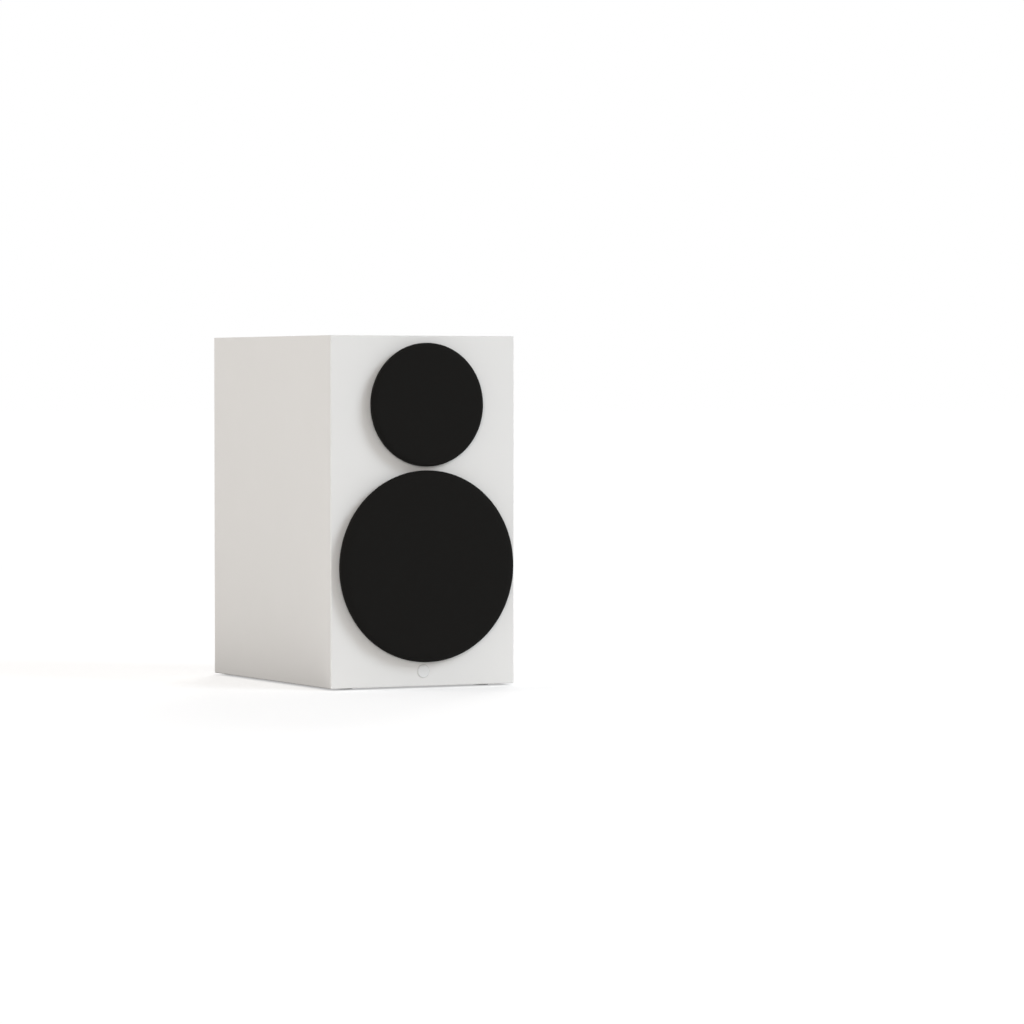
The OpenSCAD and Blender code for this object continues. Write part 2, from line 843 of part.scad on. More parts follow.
module tweeter_rear_chamber()
    color([0.1, 0.1, 0.1])
        front_axis(tweeter_z)
            difference() {
                disc(chamber_r, chamber_z - chamber_h, chamber_z);
                disc(chamber_r - chamber_wall, chamber_z - chamber_h + chamber_wall, chamber_z + 1);
            }

module tweeter_terminal_strip()
    front_axis(tweeter_z)
        terminal_strip(1, tweeter_magnet_r + 0.4, 8, tweeter_yoke_z, tweeter_seat_z - tweeter_plate_t,
            4, -21, 4.2);

// ---------------------------------------------------------------- port and terminals

// One moulding: outer flange, flare, tube and inner flare
module port_tube()
    color([0.1, 0.1, 0.1])
        rear_axis(0, foot_h + port_h)
            let (wall = port_wall, mouth = port_r + flare_r, knee = rear_reach - flare_r,
                flare = inner_flare_r, end_mid = port_r + inner_flare_r,
                end_knee = inner_flare_r - port_len)
                rotate_extrude()
                    polygon(concat(
                        [[mouth + port_flange_w, 0], [mouth + port_flange_w, port_flange_t],
                            [mouth + port_flange_t, rear_reach]],
                        arc(mouth, knee, flare_r, flare_r, 90, 180, 10),
                        arc(end_mid, end_knee, flare, flare, 180, 270, 8),
                        [[end_mid, wall - port_len]],
                        arc(end_mid, end_knee, flare - wall, flare - wall, 270, 180, 8),
                        arc(mouth, knee, flare_r - wall, flare_r - wall, 180, 90, 10),
                        [[mouth, 0]]
                    ));

module at_cup_screws()
    for (x = [-1, 1], y = [-1, 1])
        translate([x * cup_screw_x, y * cup_screw_y, 0])
            children();

// The cup's body behind its flange, grown by a margin all round
module cup_body(margin, bottom, top)
    round_plate(recess_w + 2 * (cup_wall + margin), recess_tall + 2 * (cup_wall + margin),
        recess_corner + cup_wall, bottom, top);

module terminal_cup()
    color([0.1, 0.1, 0.1])
        rear_axis(0, foot_h + cup_h)
            difference() {
                union() {
                    round_plate(cup_w, cup_tall, cup_corner, cup_gasket_t, rear_reach);
                    cup_body(0, -cup_depth - cup_wall, cup_gasket_t + 1);
                }
                round_plate(recess_w, recess_tall, recess_corner, -cup_depth, rear_reach + 1);
                at_cup_screws() {
                    disc(cup_screw_hole_r, 0, rear_reach + 1);
                    disc(cup_screw_head_r + 0.2, rear_reach - cup_screw_head_h - 0.2, rear_reach + 1);
                }
                for (x = [-1, 1])
                    translate([x * post_pitch / 2, 0, 0])
                        disc(stem_r + 0.2, -cup_depth - cup_wall - 1, 0);
            }

module terminal_gasket()
    color("black")
        rear_axis(0, foot_h + cup_h)
            difference() {
                round_plate(cup_w - 1, cup_tall - 1, cup_corner, 0, cup_gasket_t);
                cup_body(cutout_play, -1, cup_gasket_t + 1);
                at_cup_screws()
                    disc(cup_screw_hole_r, -1, cup_gasket_t + 1);
            }

module terminal_screws()
    color([0.15, 0.15, 0.15])
        rear_axis(0, foot_h + cup_h)
            at_cup_screws()
                difference() {
                    union() {
                        disc(cup_screw_head_r, rear_reach - cup_screw_head_h - 0.2, rear_reach - 0.2);
                        disc(1.4, -12, rear_reach - cup_screw_head_h - 0.2);
                    }
                    for (a = [0, 90])
                        rotate([0, 0, a])
                            translate([-2, -0.4, rear_reach - 1.2])
                                cube([4, 0.8, 2]);
                }

// Gold-plated post: collar, threaded stem, plug socket and cross hole for bare wire
module post_stem(side)
    color("gold")
        rear_axis(side * post_pitch / 2, foot_h + cup_h)
            difference() {
                union() {
                    disc(collar_r, -cup_depth, collar_top);
                    disc(stem_r, stem_tail, stem_mouth);
                }
                disc(socket_r, stem_mouth - socket_len, stem_mouth + 1);
                translate([0, 0, cross_hole_z])
                    rotate([90, 0, 0])
                        cylinder(r = cross_hole_r, h = 20, center = true);
            }

module post_washer(side)
    color("gold")
        rear_axis(side * post_pitch / 2, foot_h + cup_h)
            ring(washer_r, stem_r + 2 * thread_play, collar_top + 0.1, collar_top + 0.1 + washer_t);

// Two solids: a threaded brass insert with a plug hole in its end, and the fluted plastic sleeve around it
module post_cap(side, tint)
    rear_axis(side * post_pitch / 2, foot_h + cup_h) {
        color("gold")
            rotate_extrude()
                polygon([
                    [stem_r + thread_play, cap_base], [insert_r, cap_base], [insert_r, cap_top],
                    [plug_hole_r, cap_top], [plug_hole_r, cap_top - cap_lip_t],
                    [stem_r + thread_play, cap_top - cap_lip_t]
                ]);
        color(tint)
            difference() {
                rotate_extrude()
                    let (inner = insert_r + seat_play, low = cap_base + cap_step, high = cap_top - cap_step)
                        polygon([
                            [inner, low], [cap_r - cap_edge, low], [cap_r, low + cap_edge],
                            [cap_r, high - cap_edge], [cap_r - cap_edge, high], [inner, high]
                        ]);
                around(flute_count, cap_r + flute_r / 2)
                    disc(flute_r, cap_base + 2.5, cap_top + 1);
            }
    }

module post_lock_nuts()
    color("gold")
        for (side = [-1, 1])
            rear_axis(side * post_pitch / 2, foot_h + cup_h)
                difference() {
                    union() {
                        translate([0, 0, -cup_depth - cup_wall - 6])
                            cylinder(r = 7, h = 5, $fn = 6);
                        disc(6.4, -cup_depth - cup_wall - 1, -cup_depth - cup_wall - 0.1);
                    }
                    disc(stem_r + 0.1, -cup_depth - cup_wall - 7, 0);
                }

// ---------------------------------------------------------------- crossover and wiring

module crossover_board()
    color("darkgreen")
        translate(inside(0, board_depth, panel_t)) {
            translate([-board_w / 2, 0, standoff_h])
                cube([board_w, board_d, board_t]);
            for (x = [-1, 1], y = [standoff_inset, board_d - standoff_inset])
                translate([x * (board_w / 2 - standoff_inset), y, 0])
                    cylinder(r = standoff_r, h = standoff_h + 0.5);
        }

// Air-core inductors, capacitors lying down and ceramic resistors
module crossover_parts()
    color("peru")
        translate(inside(0, board_depth, board_top_h + eps)) {
            for (coil = inductors)
                translate([coil[0], coil[1], 0])
                    ring(coil[2], coil[3], 0, coil[4]);
            for (can = capacitors)
                translate([can[0], can[1], can[3]])
                    rotate([-90, 0, 0])
                        cylinder(r = can[3], h = can[2]);
            for (spot = resistors)
                translate([spot[0], spot[1], 0])
                    cube(resistor_size);
        }

// Three pairs of leads: rear posts to board, board to woofer, board to tweeter
module hookup_wires()
    color("firebrick")
        for (s = [-1, 1]) {
            wire([
                inside(14 * s, 215.7, cup_h), inside(14 * s, 209, cup_h - 1),
                inside(14 * s, 203, cup_h - 18), inside(14 * s, 198, 40),
                inside(14 * s, 196, board_top_h + 0.2)
            ], wire_r, wire_rings);
            wire([
                inside(-49.2, 36.6, woofer_h + 5 * s), inside(-52, 37, woofer_h + 5 * s),
                inside(-54 - 1.5 * s, 55, 88 + 2 * s), inside(-53 - 1.7 * s, 90, 55),
                inside(-48 - 1.8 * s, 116, 36), inside(-45 - 1.8 * s, 123.5, board_top_h + 0.2)
            ], wire_r, wire_rings);
            wire([
                inside(37.9, 20.6, tweeter_h + 4 * s), inside(42, 21, tweeter_h + 4 * s),
                inside(49 + 1.7 * s, 38, 226 + 3 * s), inside(48 + 1.7 * s, 82, 196 + s),
                inside(46 + 1.7 * s, 92, 170), inside(49 + 1.7 * s, 100, 110),
                inside(48 + 1.8 * s, 116, 50), inside(46 + 1.8 * s, 123.5, board_top_h + 0.2)
            ], wire_r, wire_rings);
        }

// A point on a smooth curve through hand-placed points, for t from 0 to 1
function on_curve(points, t) =
    let (
        last = len(points) - 1,
        s = min(floor(t * last), last - 1),
        f = t * last - s,
        p0 = points[max(s - 1, 0)],
        p1 = points[s],
        p2 = points[s + 1],
        p3 = points[min(s + 2, last)]
    )
    0.5 * (2 * p1 + (p2 - p0) * f + (2 * p0 - 5 * p1 + 4 * p2 - p3) * f * f
        + (3 * p1 - p0 - 3 * p2 + p3) * f * f * f);

function unit(v) = v / norm(v);

// Round wire of 8 sides swept along a smooth curve through the points
module wire(points, radius, rings) {
    sides = 8;
    line = [for (i = [0 : rings]) on_curve(points, i / rings)];
    corners = [for (i = [0 : rings])
        let (
            along = unit(line[min(i + 1, rings)] - line[max(i - 1, 0)]),
            across = unit(cross(along, [0.5, 0.1, 0.85])),
            up = cross(along, across)
        )
        for (k = [0 : sides - 1])
            line[i] + radius * (cos(360 * k / sides) * across + sin(360 * k / sides) * up)];
    polyhedron(
        points = corners,
        faces = concat(
            [[for (k = [0 : sides - 1]) k]],
            [for (i = [0 : rings - 1], k = [0 : sides - 1])
                let (a = i * sides + k, b = i * sides + (k + 1) % sides)
                    each [[a, a + sides, b], [b, a + sides, b + sides]]],
            [[for (k = [sides - 1 : -1 : 0]) rings * sides + k]]
        ));
}

// ---------------------------------------------------------------- nodes

front_baffle();
rear_panel();
left_panel();
right_panel();
top_panel();
bottom_panel();
window_brace();
wadding(-1);  // left_wadding
wadding(1);  // right_wadding
rubber_feet();
badge();
woofer_grille_frame();
woofer_grille_fabric();
woofer_grille_magnets();
tweeter_grille_frame();
tweeter_grille_fabric();
tweeter_grille_magnets();
woofer_trim_ring();
woofer_ring_magnets();
tweeter_trim_ring();
tweeter_ring_magnets();
woofer_basket();
woofer_gasket();
woofer_screws();
woofer_surround();
woofer_cone();
woofer_dust_cap();
woofer_spider();
woofer_coil_former();
woofer_coil_winding();
woofer_top_plate();
woofer_magnet();
woofer_yoke();
woofer_terminal_strip();
woofer_tinsel_leads();
tweeter_faceplate();
tweeter_gasket();
tweeter_screws();
tweeter_dome();
tweeter_surround();
tweeter_voice_coil();
tweeter_top_plate();
tweeter_magnet();
tweeter_yoke();
tweeter_rear_chamber();
tweeter_terminal_strip();
port_tube();
terminal_cup();
terminal_gasket();
terminal_screws();
post_stem(-1);  // red_post_stem
post_washer(-1);  // red_post_washer
post_cap(-1, "red");  // red_post_cap
post_stem(1);  // black_post_stem
post_washer(1);  // black_post_washer
post_cap(1, [0.1, 0.1, 0.1]);  // black_post_cap
post_lock_nuts();
crossover_board();
crossover_parts();
hookup_wires();
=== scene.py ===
"""The looks of a two-way bookshelf speaker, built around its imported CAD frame.

Everything is in the frame's metres, except that outlines of turned and lofted parts are in
millimetres in their own axis's frame, where +z points out of the cabinet. +Z is up and the
drivers face -Y.
"""
import json
from functools import partial
from math import asin, atan2, cos, degrees, exp, pi, radians, sin, tan

import bmesh
import bpy
import numpy as np
from mathutils import Matrix, Vector


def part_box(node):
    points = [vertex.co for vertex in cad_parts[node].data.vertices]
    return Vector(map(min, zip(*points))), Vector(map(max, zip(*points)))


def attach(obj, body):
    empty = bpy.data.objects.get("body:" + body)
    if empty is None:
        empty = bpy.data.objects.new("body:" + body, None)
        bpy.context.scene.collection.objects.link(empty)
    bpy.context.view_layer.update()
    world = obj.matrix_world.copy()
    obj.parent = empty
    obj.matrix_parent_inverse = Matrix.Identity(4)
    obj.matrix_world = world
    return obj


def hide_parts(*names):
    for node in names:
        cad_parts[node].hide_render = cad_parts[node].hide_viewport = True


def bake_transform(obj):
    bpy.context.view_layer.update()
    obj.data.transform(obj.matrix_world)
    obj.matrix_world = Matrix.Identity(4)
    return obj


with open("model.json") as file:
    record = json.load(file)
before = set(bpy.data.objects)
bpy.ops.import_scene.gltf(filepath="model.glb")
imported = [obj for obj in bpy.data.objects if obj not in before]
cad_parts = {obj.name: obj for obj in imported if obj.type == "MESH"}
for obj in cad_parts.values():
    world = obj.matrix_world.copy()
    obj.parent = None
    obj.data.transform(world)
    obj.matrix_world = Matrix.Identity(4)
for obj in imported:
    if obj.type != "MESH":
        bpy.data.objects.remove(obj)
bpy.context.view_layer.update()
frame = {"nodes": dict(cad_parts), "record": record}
MM = 0.001
TINY = 1e-6
SMOOTH_ANGLE = 35
FILLET_STEPS = 5

# ---------------- places, read from the frame

# Each panel's axis, and which end of it the panel closes
PANELS = {
    "front_baffle": (1, -1),
    "rear_panel": (1, 1),
    "left_panel": (0, -1),
    "right_panel": (0, 1),
    "top_panel": (2, 1),
    "bottom_panel": (2, -1),
}
CABINET_LOW = Vector(min(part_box(n)[0][i] for n in PANELS) for i in range(3))
CABINET_HIGH = Vector(max(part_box(n)[1][i] for n in PANELS) for i in range(3))
FACE_Y, BACK_Y = CABINET_LOW.y, CABINET_HIGH.y
PANEL_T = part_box("front_baffle")[1].y - FACE_Y


def centre(node):
    low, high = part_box(node)
    return (low + high) / 2


def axis_out_of(node, y, turn):
    """The frame of an axis through a round node: millimetres, with +z out of the face at y."""
    place = Vector((centre(node).x, y, centre(node).z))
    return Matrix.Translation(place) @ Matrix.Rotation(radians(turn), 4, "X") @ Matrix.Scale(MM, 4)


WOOFER = axis_out_of("woofer_cone", FACE_Y, 90)
TWEETER = axis_out_of("tweeter_dome", FACE_Y, 90)
BADGE = axis_out_of("badge", FACE_Y, 90)
PORT = axis_out_of("port_tube", BACK_Y, -90)
CUP = axis_out_of("terminal_cup", BACK_Y, -90)


def size(node, axis):
    """(radius, back, front) of a node in millimetres, in the frame of the axis it is made on."""
    low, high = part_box(node)
    ends = [(axis.inverted() @ Vector((centre(node).x, y, centre(node).z))).z for y in (low.y, high.y)]
    return (high.x - low.x) / 2 / MM, min(ends), max(ends)


# ---------------- shapes


def arc(x, y, rx, ry, start, end, steps):
    """Points of an elliptical arc, with angles in degrees."""
    angles = np.radians(np.linspace(start, end, steps + 1))
    return [(x + rx * cos(a), y + ry * sin(a)) for a in angles]


def filleted(corners, closed=True):
    """A polyline of (x, y) or (x, y, radius) corners with each radius rounded off."""
    points, count = [], len(corners)
    for i, corner in enumerate(corners):
        here = Vector(corner[:2])
        radius = corner[2] if len(corner) > 2 else 0
        if not radius or (not closed and i in (0, count - 1)):
            points.append(tuple(here))
            continue
        before = (Vector(corners[i - 1][:2]) - here).normalized()
        after = (Vector(corners[(i + 1) % count][:2]) - here).normalized()
        half = before.angle(after) / 2
        hub = here + (before + after).normalized() * radius / sin(half)
        first = here + before * radius / tan(half) - hub
        last = here + after * radius / tan(half) - hub
        sweep = atan2(first.x * last.y - first.y * last.x, first.dot(last))
        turns = (Matrix.Rotation(sweep * k / FILLET_STEPS, 2) for k in range(FILLET_STEPS + 1))
        points += [tuple(hub + turn @ first) for turn in turns]
    return points


def profile(*corners):
    """An open polyline of corners, each (x, y) or (x, y, radius)."""
    return filleted(corners, closed=False)


def new_object(name, bm, smooth=SMOOTH_ANGLE):
    bmesh.ops.recalc_face_normals(bm, faces=bm.faces)
    mesh = bpy.data.meshes.new(name)
    bm.to_mesh(mesh)
    bm.free()
    mesh.shade_smooth()
    mesh.set_sharp_from_angle(angle=radians(smooth))
    obj = bpy.data.objects.new(name, mesh)
    bpy.context.scene.collection.objects.link(obj)
    return obj


def add_rings(bm, rings, closed=False, capped=False):
    """Skins a row of rings of points. A ring of one point is a pole."""
    rows = [[bm.verts.new(p) for p in ring] for ring in rings]
    pairs = list(zip(rows, rows[1:])) + ([(rows[-1], rows[0])] if closed else [])
    for one, two in pairs:
        for k in range(max(len(one), len(two))):
            after = k + 1
            corners = [one[k % len(one)], one[after % len(one)], two[after % len(two)], two[k % len(two)]]
            bm.faces.new(list(dict.fromkeys(corners)))
    if capped:
        bm.faces.new(rows[0])
        bm.faces.new(rows[-1])


def add_loft(bm, rings, place):
    """A solid through rings of points in the frame of its place."""
    add_rings(bm, [[place @ Vector(p) for p in ring] for ring in rings], capped=True)


def turned_rings(outline, place, segments, shape=None):
    """Rings of an outline of (radius, z) points turned about an axis. shape(angle, r, z) may move one."""
    rings = []
    for r, z in outline:
        if r < TINY:
            rings.append([place @ Vector((0, 0, z))])
            continue
        ring = []
        for k in range(segments):
            angle = 2 * pi * k / segments
            rr, zz = shape(angle, r, z) if shape else (r, z)
            ring.append(place @ Vector((rr * cos(angle), rr * sin(angle), zz)))
        rings.append(ring)
    return rings


def turned(name, outline, places, segments, shape=None, smooth=SMOOTH_ANGLE):
    """A turned solid. Its outline runs from axis to axis, or is a closed loop off the axis."""
    bm = bmesh.new()
    loop = outline[0][0] > TINY and outline[-1][0] > TINY
    for place in [places] if isinstance(places, Matrix) else places:
        add_rings(bm, turned_rings(outline, place, segments, shape), closed=loop)
    return new_object(name, bm, smooth)


def around(axis, count, radius, start=0.0):
    """Frames at even steps on a circle about an axis."""
    angles = (radians(start + 360 * i / count) for i in range(count))
    return [at(axis @ Matrix.Rotation(angle, 4, "Z"), radius, 0) for angle in angles]


def at(axis, x, y, z=0.0):
    return axis @ Matrix.Translation((x, y, z))


def round_rectangle(w, h, corner, z, steps=8):
    """A ring of points around a rectangle with rounded corners."""
    x, y, ring = w / 2 - corner, h / 2 - corner, []
    for sx, sy, start in ((1, 1, 0), (-1, 1, 90), (-1, -1, 180), (1, -1, 270)):
        ring += [(*point, z) for point in arc(sx * x, sy * y, corner, corner, start, start + 90, steps)]
    return ring


def lofted(name, rings, place):
    bm = bmesh.new()
    add_loft(bm, rings, place)
    return new_object(name, bm)


def rod(radius, bottom, top):
    """Outline of a plain rod, used to cut holes."""
    return [(0, bottom), (radius, bottom), (radius, top), (0, top)]


def cut(piece, cutter):
    """Takes the cutter's volume away from the piece."""
    modifier = piece.modifiers.new("cut", "BOOLEAN")
    modifier.object = cutter
    modifier.operation = "DIFFERENCE"
    modifier.solver = "EXACT"
    bpy.context.view_layer.update()
    result = piece.evaluated_get(bpy.context.evaluated_depsgraph_get())
    mesh = bpy.data.meshes.new_from_object(result)
    piece.modifiers.clear()
    piece.data = mesh
    mesh.set_sharp_from_angle(angle=radians(SMOOTH_ANGLE))
    bpy.data.objects.remove(cutter)
    return piece


# ---------------- materials


class Surface:
    """A node material with short names for the nodes that this file uses."""

    def __init__(self, name, roughness, **sockets):
        self.material = bpy.data.materials.new(name)
        self.material.use_nodes = True
        self.tree = self.material.node_tree
        self.shader = self.tree.nodes["Principled BSDF"]
        self.coords = self.node("ShaderNodeTexCoord").outputs["Object"]
        self.set(Roughness=roughness, **sockets)

    def set(self, **sockets):
        for socket, value in sockets.items():
            self.shader.inputs[socket.replace("_", " ")].default_value = value

    def node(self, kind, inputs=(), **settings):
        """A new node. Each of its inputs is given a value, or the output that feeds it."""
        made = self.tree.nodes.new(kind)
        for key, value in settings.items():
            setattr(made, key, value)
        for key, value in dict(inputs).items():
            if isinstance(value, bpy.types.NodeSocket):
                self.tree.links.new(value, made.inputs[key])
            else:
                made.inputs[key].default_value = value
        return made

    def link(self, output, socket):
        self.tree.links.new(output, self.shader.inputs[socket])

    def stretched(self, scale, coords=None):
        return self.node("ShaderNodeMapping", {"Scale": scale, "Vector": coords or self.coords}).outputs[0]

    def noise(self, scale, detail, coords=None, roughness=0.55):
        inputs = {"Vector": coords or self.coords, "Scale": scale, "Detail": detail, "Roughness": roughness}
        return self.node("ShaderNodeTexNoise", inputs).outputs["Fac"]

    def cells(self, scale):
        return self.node("ShaderNodeTexVoronoi", {"Scale": scale, "Vector": self.coords}).outputs["Distance"]

    def phases(self, pitch, coords=None):
        """X, Y and Z as angles that grow by half a turn over each pitch, which is in metres."""
        angles = self.stretched((pi / pitch,) * 3, coords)
        return self.node("ShaderNodeSeparateXYZ", {"Vector": angles}).outputs

    def threads(self, phase):
        """Height of round threads side by side."""
        return self.math("ABSOLUTE", self.math("SINE", phase))

    def math(self, operation, a, b=0.5):
        return self.node("ShaderNodeMath", {0: a, 1: b}, operation=operation).outputs[0]

    def spread(self, value, low, high, to_low, to_high):
        inputs = {"Value": value, "From Min": low, "From Max": high, "To Min": to_low, "To Max": to_high}
        return self.node("ShaderNodeMapRange", inputs).outputs[0]

    def within(self, value, low, high):
        """1 between two limits, and 0 outside them."""
        inputs = {0: value, 1: (low + high) / 2, 2: (high - low) / 2}
        return self.node("ShaderNodeMath", inputs, operation="COMPARE").outputs[0]

    def mix(self, factor, one, two):
        """A blend of two colours, either of which may be another node's output."""
        one, two = ((*color, 1) if isinstance(color, tuple) else color for color in (one, two))
        return self.node("ShaderNodeMix", {"Factor": factor, 6: one, 7: two}, data_type="RGBA").outputs[2]

    def bump(self, height, depth, strength=1.0):
        """Adds relief of a real depth in metres, on top of any relief added before."""
        inputs = {"Height": height, "Strength": strength, "Distance": depth}
        old = self.shader.inputs["Normal"].links
        if old:
            inputs["Normal"] = old[0].from_socket
        self.link(self.node("ShaderNodeBump", inputs).outputs[0], "Normal")

    def vary(self, factor, one, two):
        self.link(self.mix(factor, one, two), "Base Color")

    def vary_roughness(self, value, low, high):
        self.link(self.spread(value, 0.3, 0.7, low, high), "Roughness")


def grained(name, rough, tint, relief, wear=None, **sockets):
    """A material with noise in its colour, its relief and perhaps its roughness.

    tint is (scale, detail, dark, light), relief is (scale, detail, depth in metres), and wear is
    (scale, detail, smooth, rough).
    """
    s = Surface(name, rough, **sockets)
    s.vary(s.noise(*tint[:2]), *tint[2:])
    if wear:
        s.vary_roughness(s.noise(*wear[:2]), *wear[2:])
    s.bump(s.noise(*relief[:2]), relief[2])
    return s


def scaled(color, share):
    return tuple(c * share for c in color)


def white_vinyl(name):
    tint = (14, 4, (0.800, 0.792, 0.772), (0.822, 0.814, 0.796))
    s = grained(name, 0.6, tint, (2600, 3, 0.00002), (60, 5, 0.56, 0.64), Specular_IOR_Level=0.3)
    s.bump(s.noise(9, 2), 0.0004, 0.06)
    return s


def raw_board(name):
    s = Surface(name, 0.85)
    fibres = s.noise(900, 6, s.stretched((1, 1, 4)))
    s.vary(fibres, (0.43, 0.32, 0.21), (0.60, 0.47, 0.33))
    s.bump(fibres, 0.0001)
    return s


def fleece(name):
    s = Surface(name, 0.95, Sheen_Weight=0.4)
    tufts = s.noise(500, 8, s.stretched((1, 1, 0.35)), 0.75)
    s.vary(tufts, (0.62, 0.61, 0.57), (0.90, 0.89, 0.86))
    s.bump(tufts, 0.0012)
    return s


def foam(name):
    s = Surface(name, 0.95)
    s.vary(s.noise(300, 4), (0.035, 0.035, 0.036), (0.07, 0.07, 0.07))
    s.bump(s.cells(2200), 0.00025)
    return s


def grille_cloth(name):
    """Fine knit, laid out along the cloth's own UVs: two sets of threads that pass over each other."""
    s = Surface(name, 0.85, Specular_IOR_Level=0.12, Sheen_Weight=0.03, Sheen_Roughness=0.4)
    uv = s.node("ShaderNodeUVMap", uv_map="cloth").outputs[0]
    x, y, _ = s.phases(0.00055, uv)
    swap = s.math("SINE", s.math("ADD", x, y))
    over = s.math("GREATER_THAN", s.math("MULTIPLY", swap, s.math("SINE", x)), 0.0)
    threads = s.math("MAXIMUM", s.threads(x), s.math("MULTIPLY", s.threads(y), 0.85))
    height = s.math("ADD", threads, s.math("MULTIPLY", over, 0.15))
    slubs = s.noise(900, 4, uv)
    # The colour follows the threads' height: painted shade where they dip between each other and painted
    # light on their crowns, on top of the slubs' own uneven tone.
    s.vary(s.math("MULTIPLY", height, slubs), (0.0030, 0.0027, 0.0024), (0.0152, 0.0143, 0.0128))
    s.vary_roughness(slubs, 0.78, 0.95)
    s.bump(height, 0.00012, 0.8)
    s.bump(s.noise(60, 3), 0.0004, 0.08)
    return s


def moulded(name, color=(0.020, 0.020, 0.021), rough=0.42, grain=2400, depth=0.00003):
    s = Surface(name, rough)
    s.vary(s.noise(120, 5), color, scaled(color, 1.5))
    s.vary_roughness(s.noise(400, 4), rough - 0.06, rough + 0.1)
    s.bump(s.cells(grain), depth)
    return s


def plated(name, color, rough=0.18):
    tint = (240, 5, scaled(color, 0.82), color)
    return grained(name, rough, tint, (3000, 2, 0.000006), (700, 5, rough - 0.05, rough + 0.12), Metallic=1.0)


def cone_pulp(name):
    """Pressed pulp: short fibres in every direction, a little lighter where they lie thick."""
    s = Surface(name, 0.7, Sheen_Weight=0.15)
    fibres = s.noise(1100, 8, s.stretched((1, 0.5, 1.6)), 0.7)
    clumps = s.noise(160, 5)
    s.vary(s.math("MULTIPLY", fibres, clumps), (0.012, 0.012, 0.013), (0.095, 0.095, 0.098))
    s.vary_roughness(fibres, 0.6, 0.85)
    s.bump(fibres, 0.00015)
    s.bump(clumps, 0.0002, 0.4)
    return s


def open_cloth(name, dark, light, pitch, sheen=0.1, rough=0.8):
    """Plain weave laid out on X and Z, which the cloth of a driver's face nearly follows."""
    s = Surface(name, rough, Sheen_Weight=sheen)
    x, _, z = s.phases(pitch)
    height = s.math("MAXIMUM", s.threads(x), s.threads(z))
    # Dark between the threads and light on their crowns: painted shade in the gaps of the weave.
    s.vary(height, dark, light)
    s.vary_roughness(s.noise(500, 3), rough - 0.1, rough + 0.1)
    s.bump(height, pitch * 0.25, 0.7)
    return s


def wound_wire(name, color, pitch):
    """Enamelled wire in close turns about a part's own axis, which lies along Y or Z."""
    s = Surface(name, 0.3, Metallic=1.0)
    _, y, z = s.phases(pitch)
    turns = s.threads(s.math("ADD", y, z))
    # Dark in the grooves between turns and full colour on their tops: painted shade between the turns.
    s.vary(turns, scaled(color, 0.45), color)
    s.vary_roughness(s.noise(600, 3), 0.25, 0.45)
    s.bump(turns, pitch * 0.4)
    return s


def zinc(name):
    s = Surface(name, 0.35, Metallic=1.0)
    s.vary(s.noise(150, 6), (0.48, 0.49, 0.47), (0.68, 0.67, 0.63))
    s.vary_roughness(s.noise(500, 6, s.stretched((1, 9, 1))), 0.28, 0.5)
    s.bump(s.noise(1200, 4, s.stretched((1, 7, 1))), 0.00002)
    return s


def phenolic(name):
    s = Surface(name, 0.55)
    s.vary(s.noise(600, 5, s.stretched((1, 6, 1))), (0.26, 0.14, 0.06), (0.46, 0.29, 0.14))
    s.bump(s.noise(1400, 3), 0.00003)
    return s


def clear_tint(name, color):
    """Glossy injection-moulded plastic with a little depth."""
    tint = (260, 3, scaled(color, 0.8), color)
    s = grained(name, 0.16, tint, (1600, 2, 0.00001), (900, 4, 0.12, 0.24), Coat_Weight=0.6)
    s.set(Coat_Roughness=0.06, Subsurface_Weight=0.08, Subsurface_Radius=(0.002, 0.0006, 0.0004))
    return s


def solder_mask(name):
    """Green board with lighter copper tracks under the mask."""
    s = Surface(name, 0.3, Coat_Weight=0.4, Coat_Roughness=0.15)
    inputs = {"Vector": s.coords, "Scale": 60.0, "Mortar Size": 0.06}
    tracks = s.node("ShaderNodeTexBrick", inputs).outputs["Fac"]
    s.vary(tracks, (0.022, 0.13, 0.06), (0.07, 0.27, 0.12))
    s.bump(tracks, 0.00005)
    return s


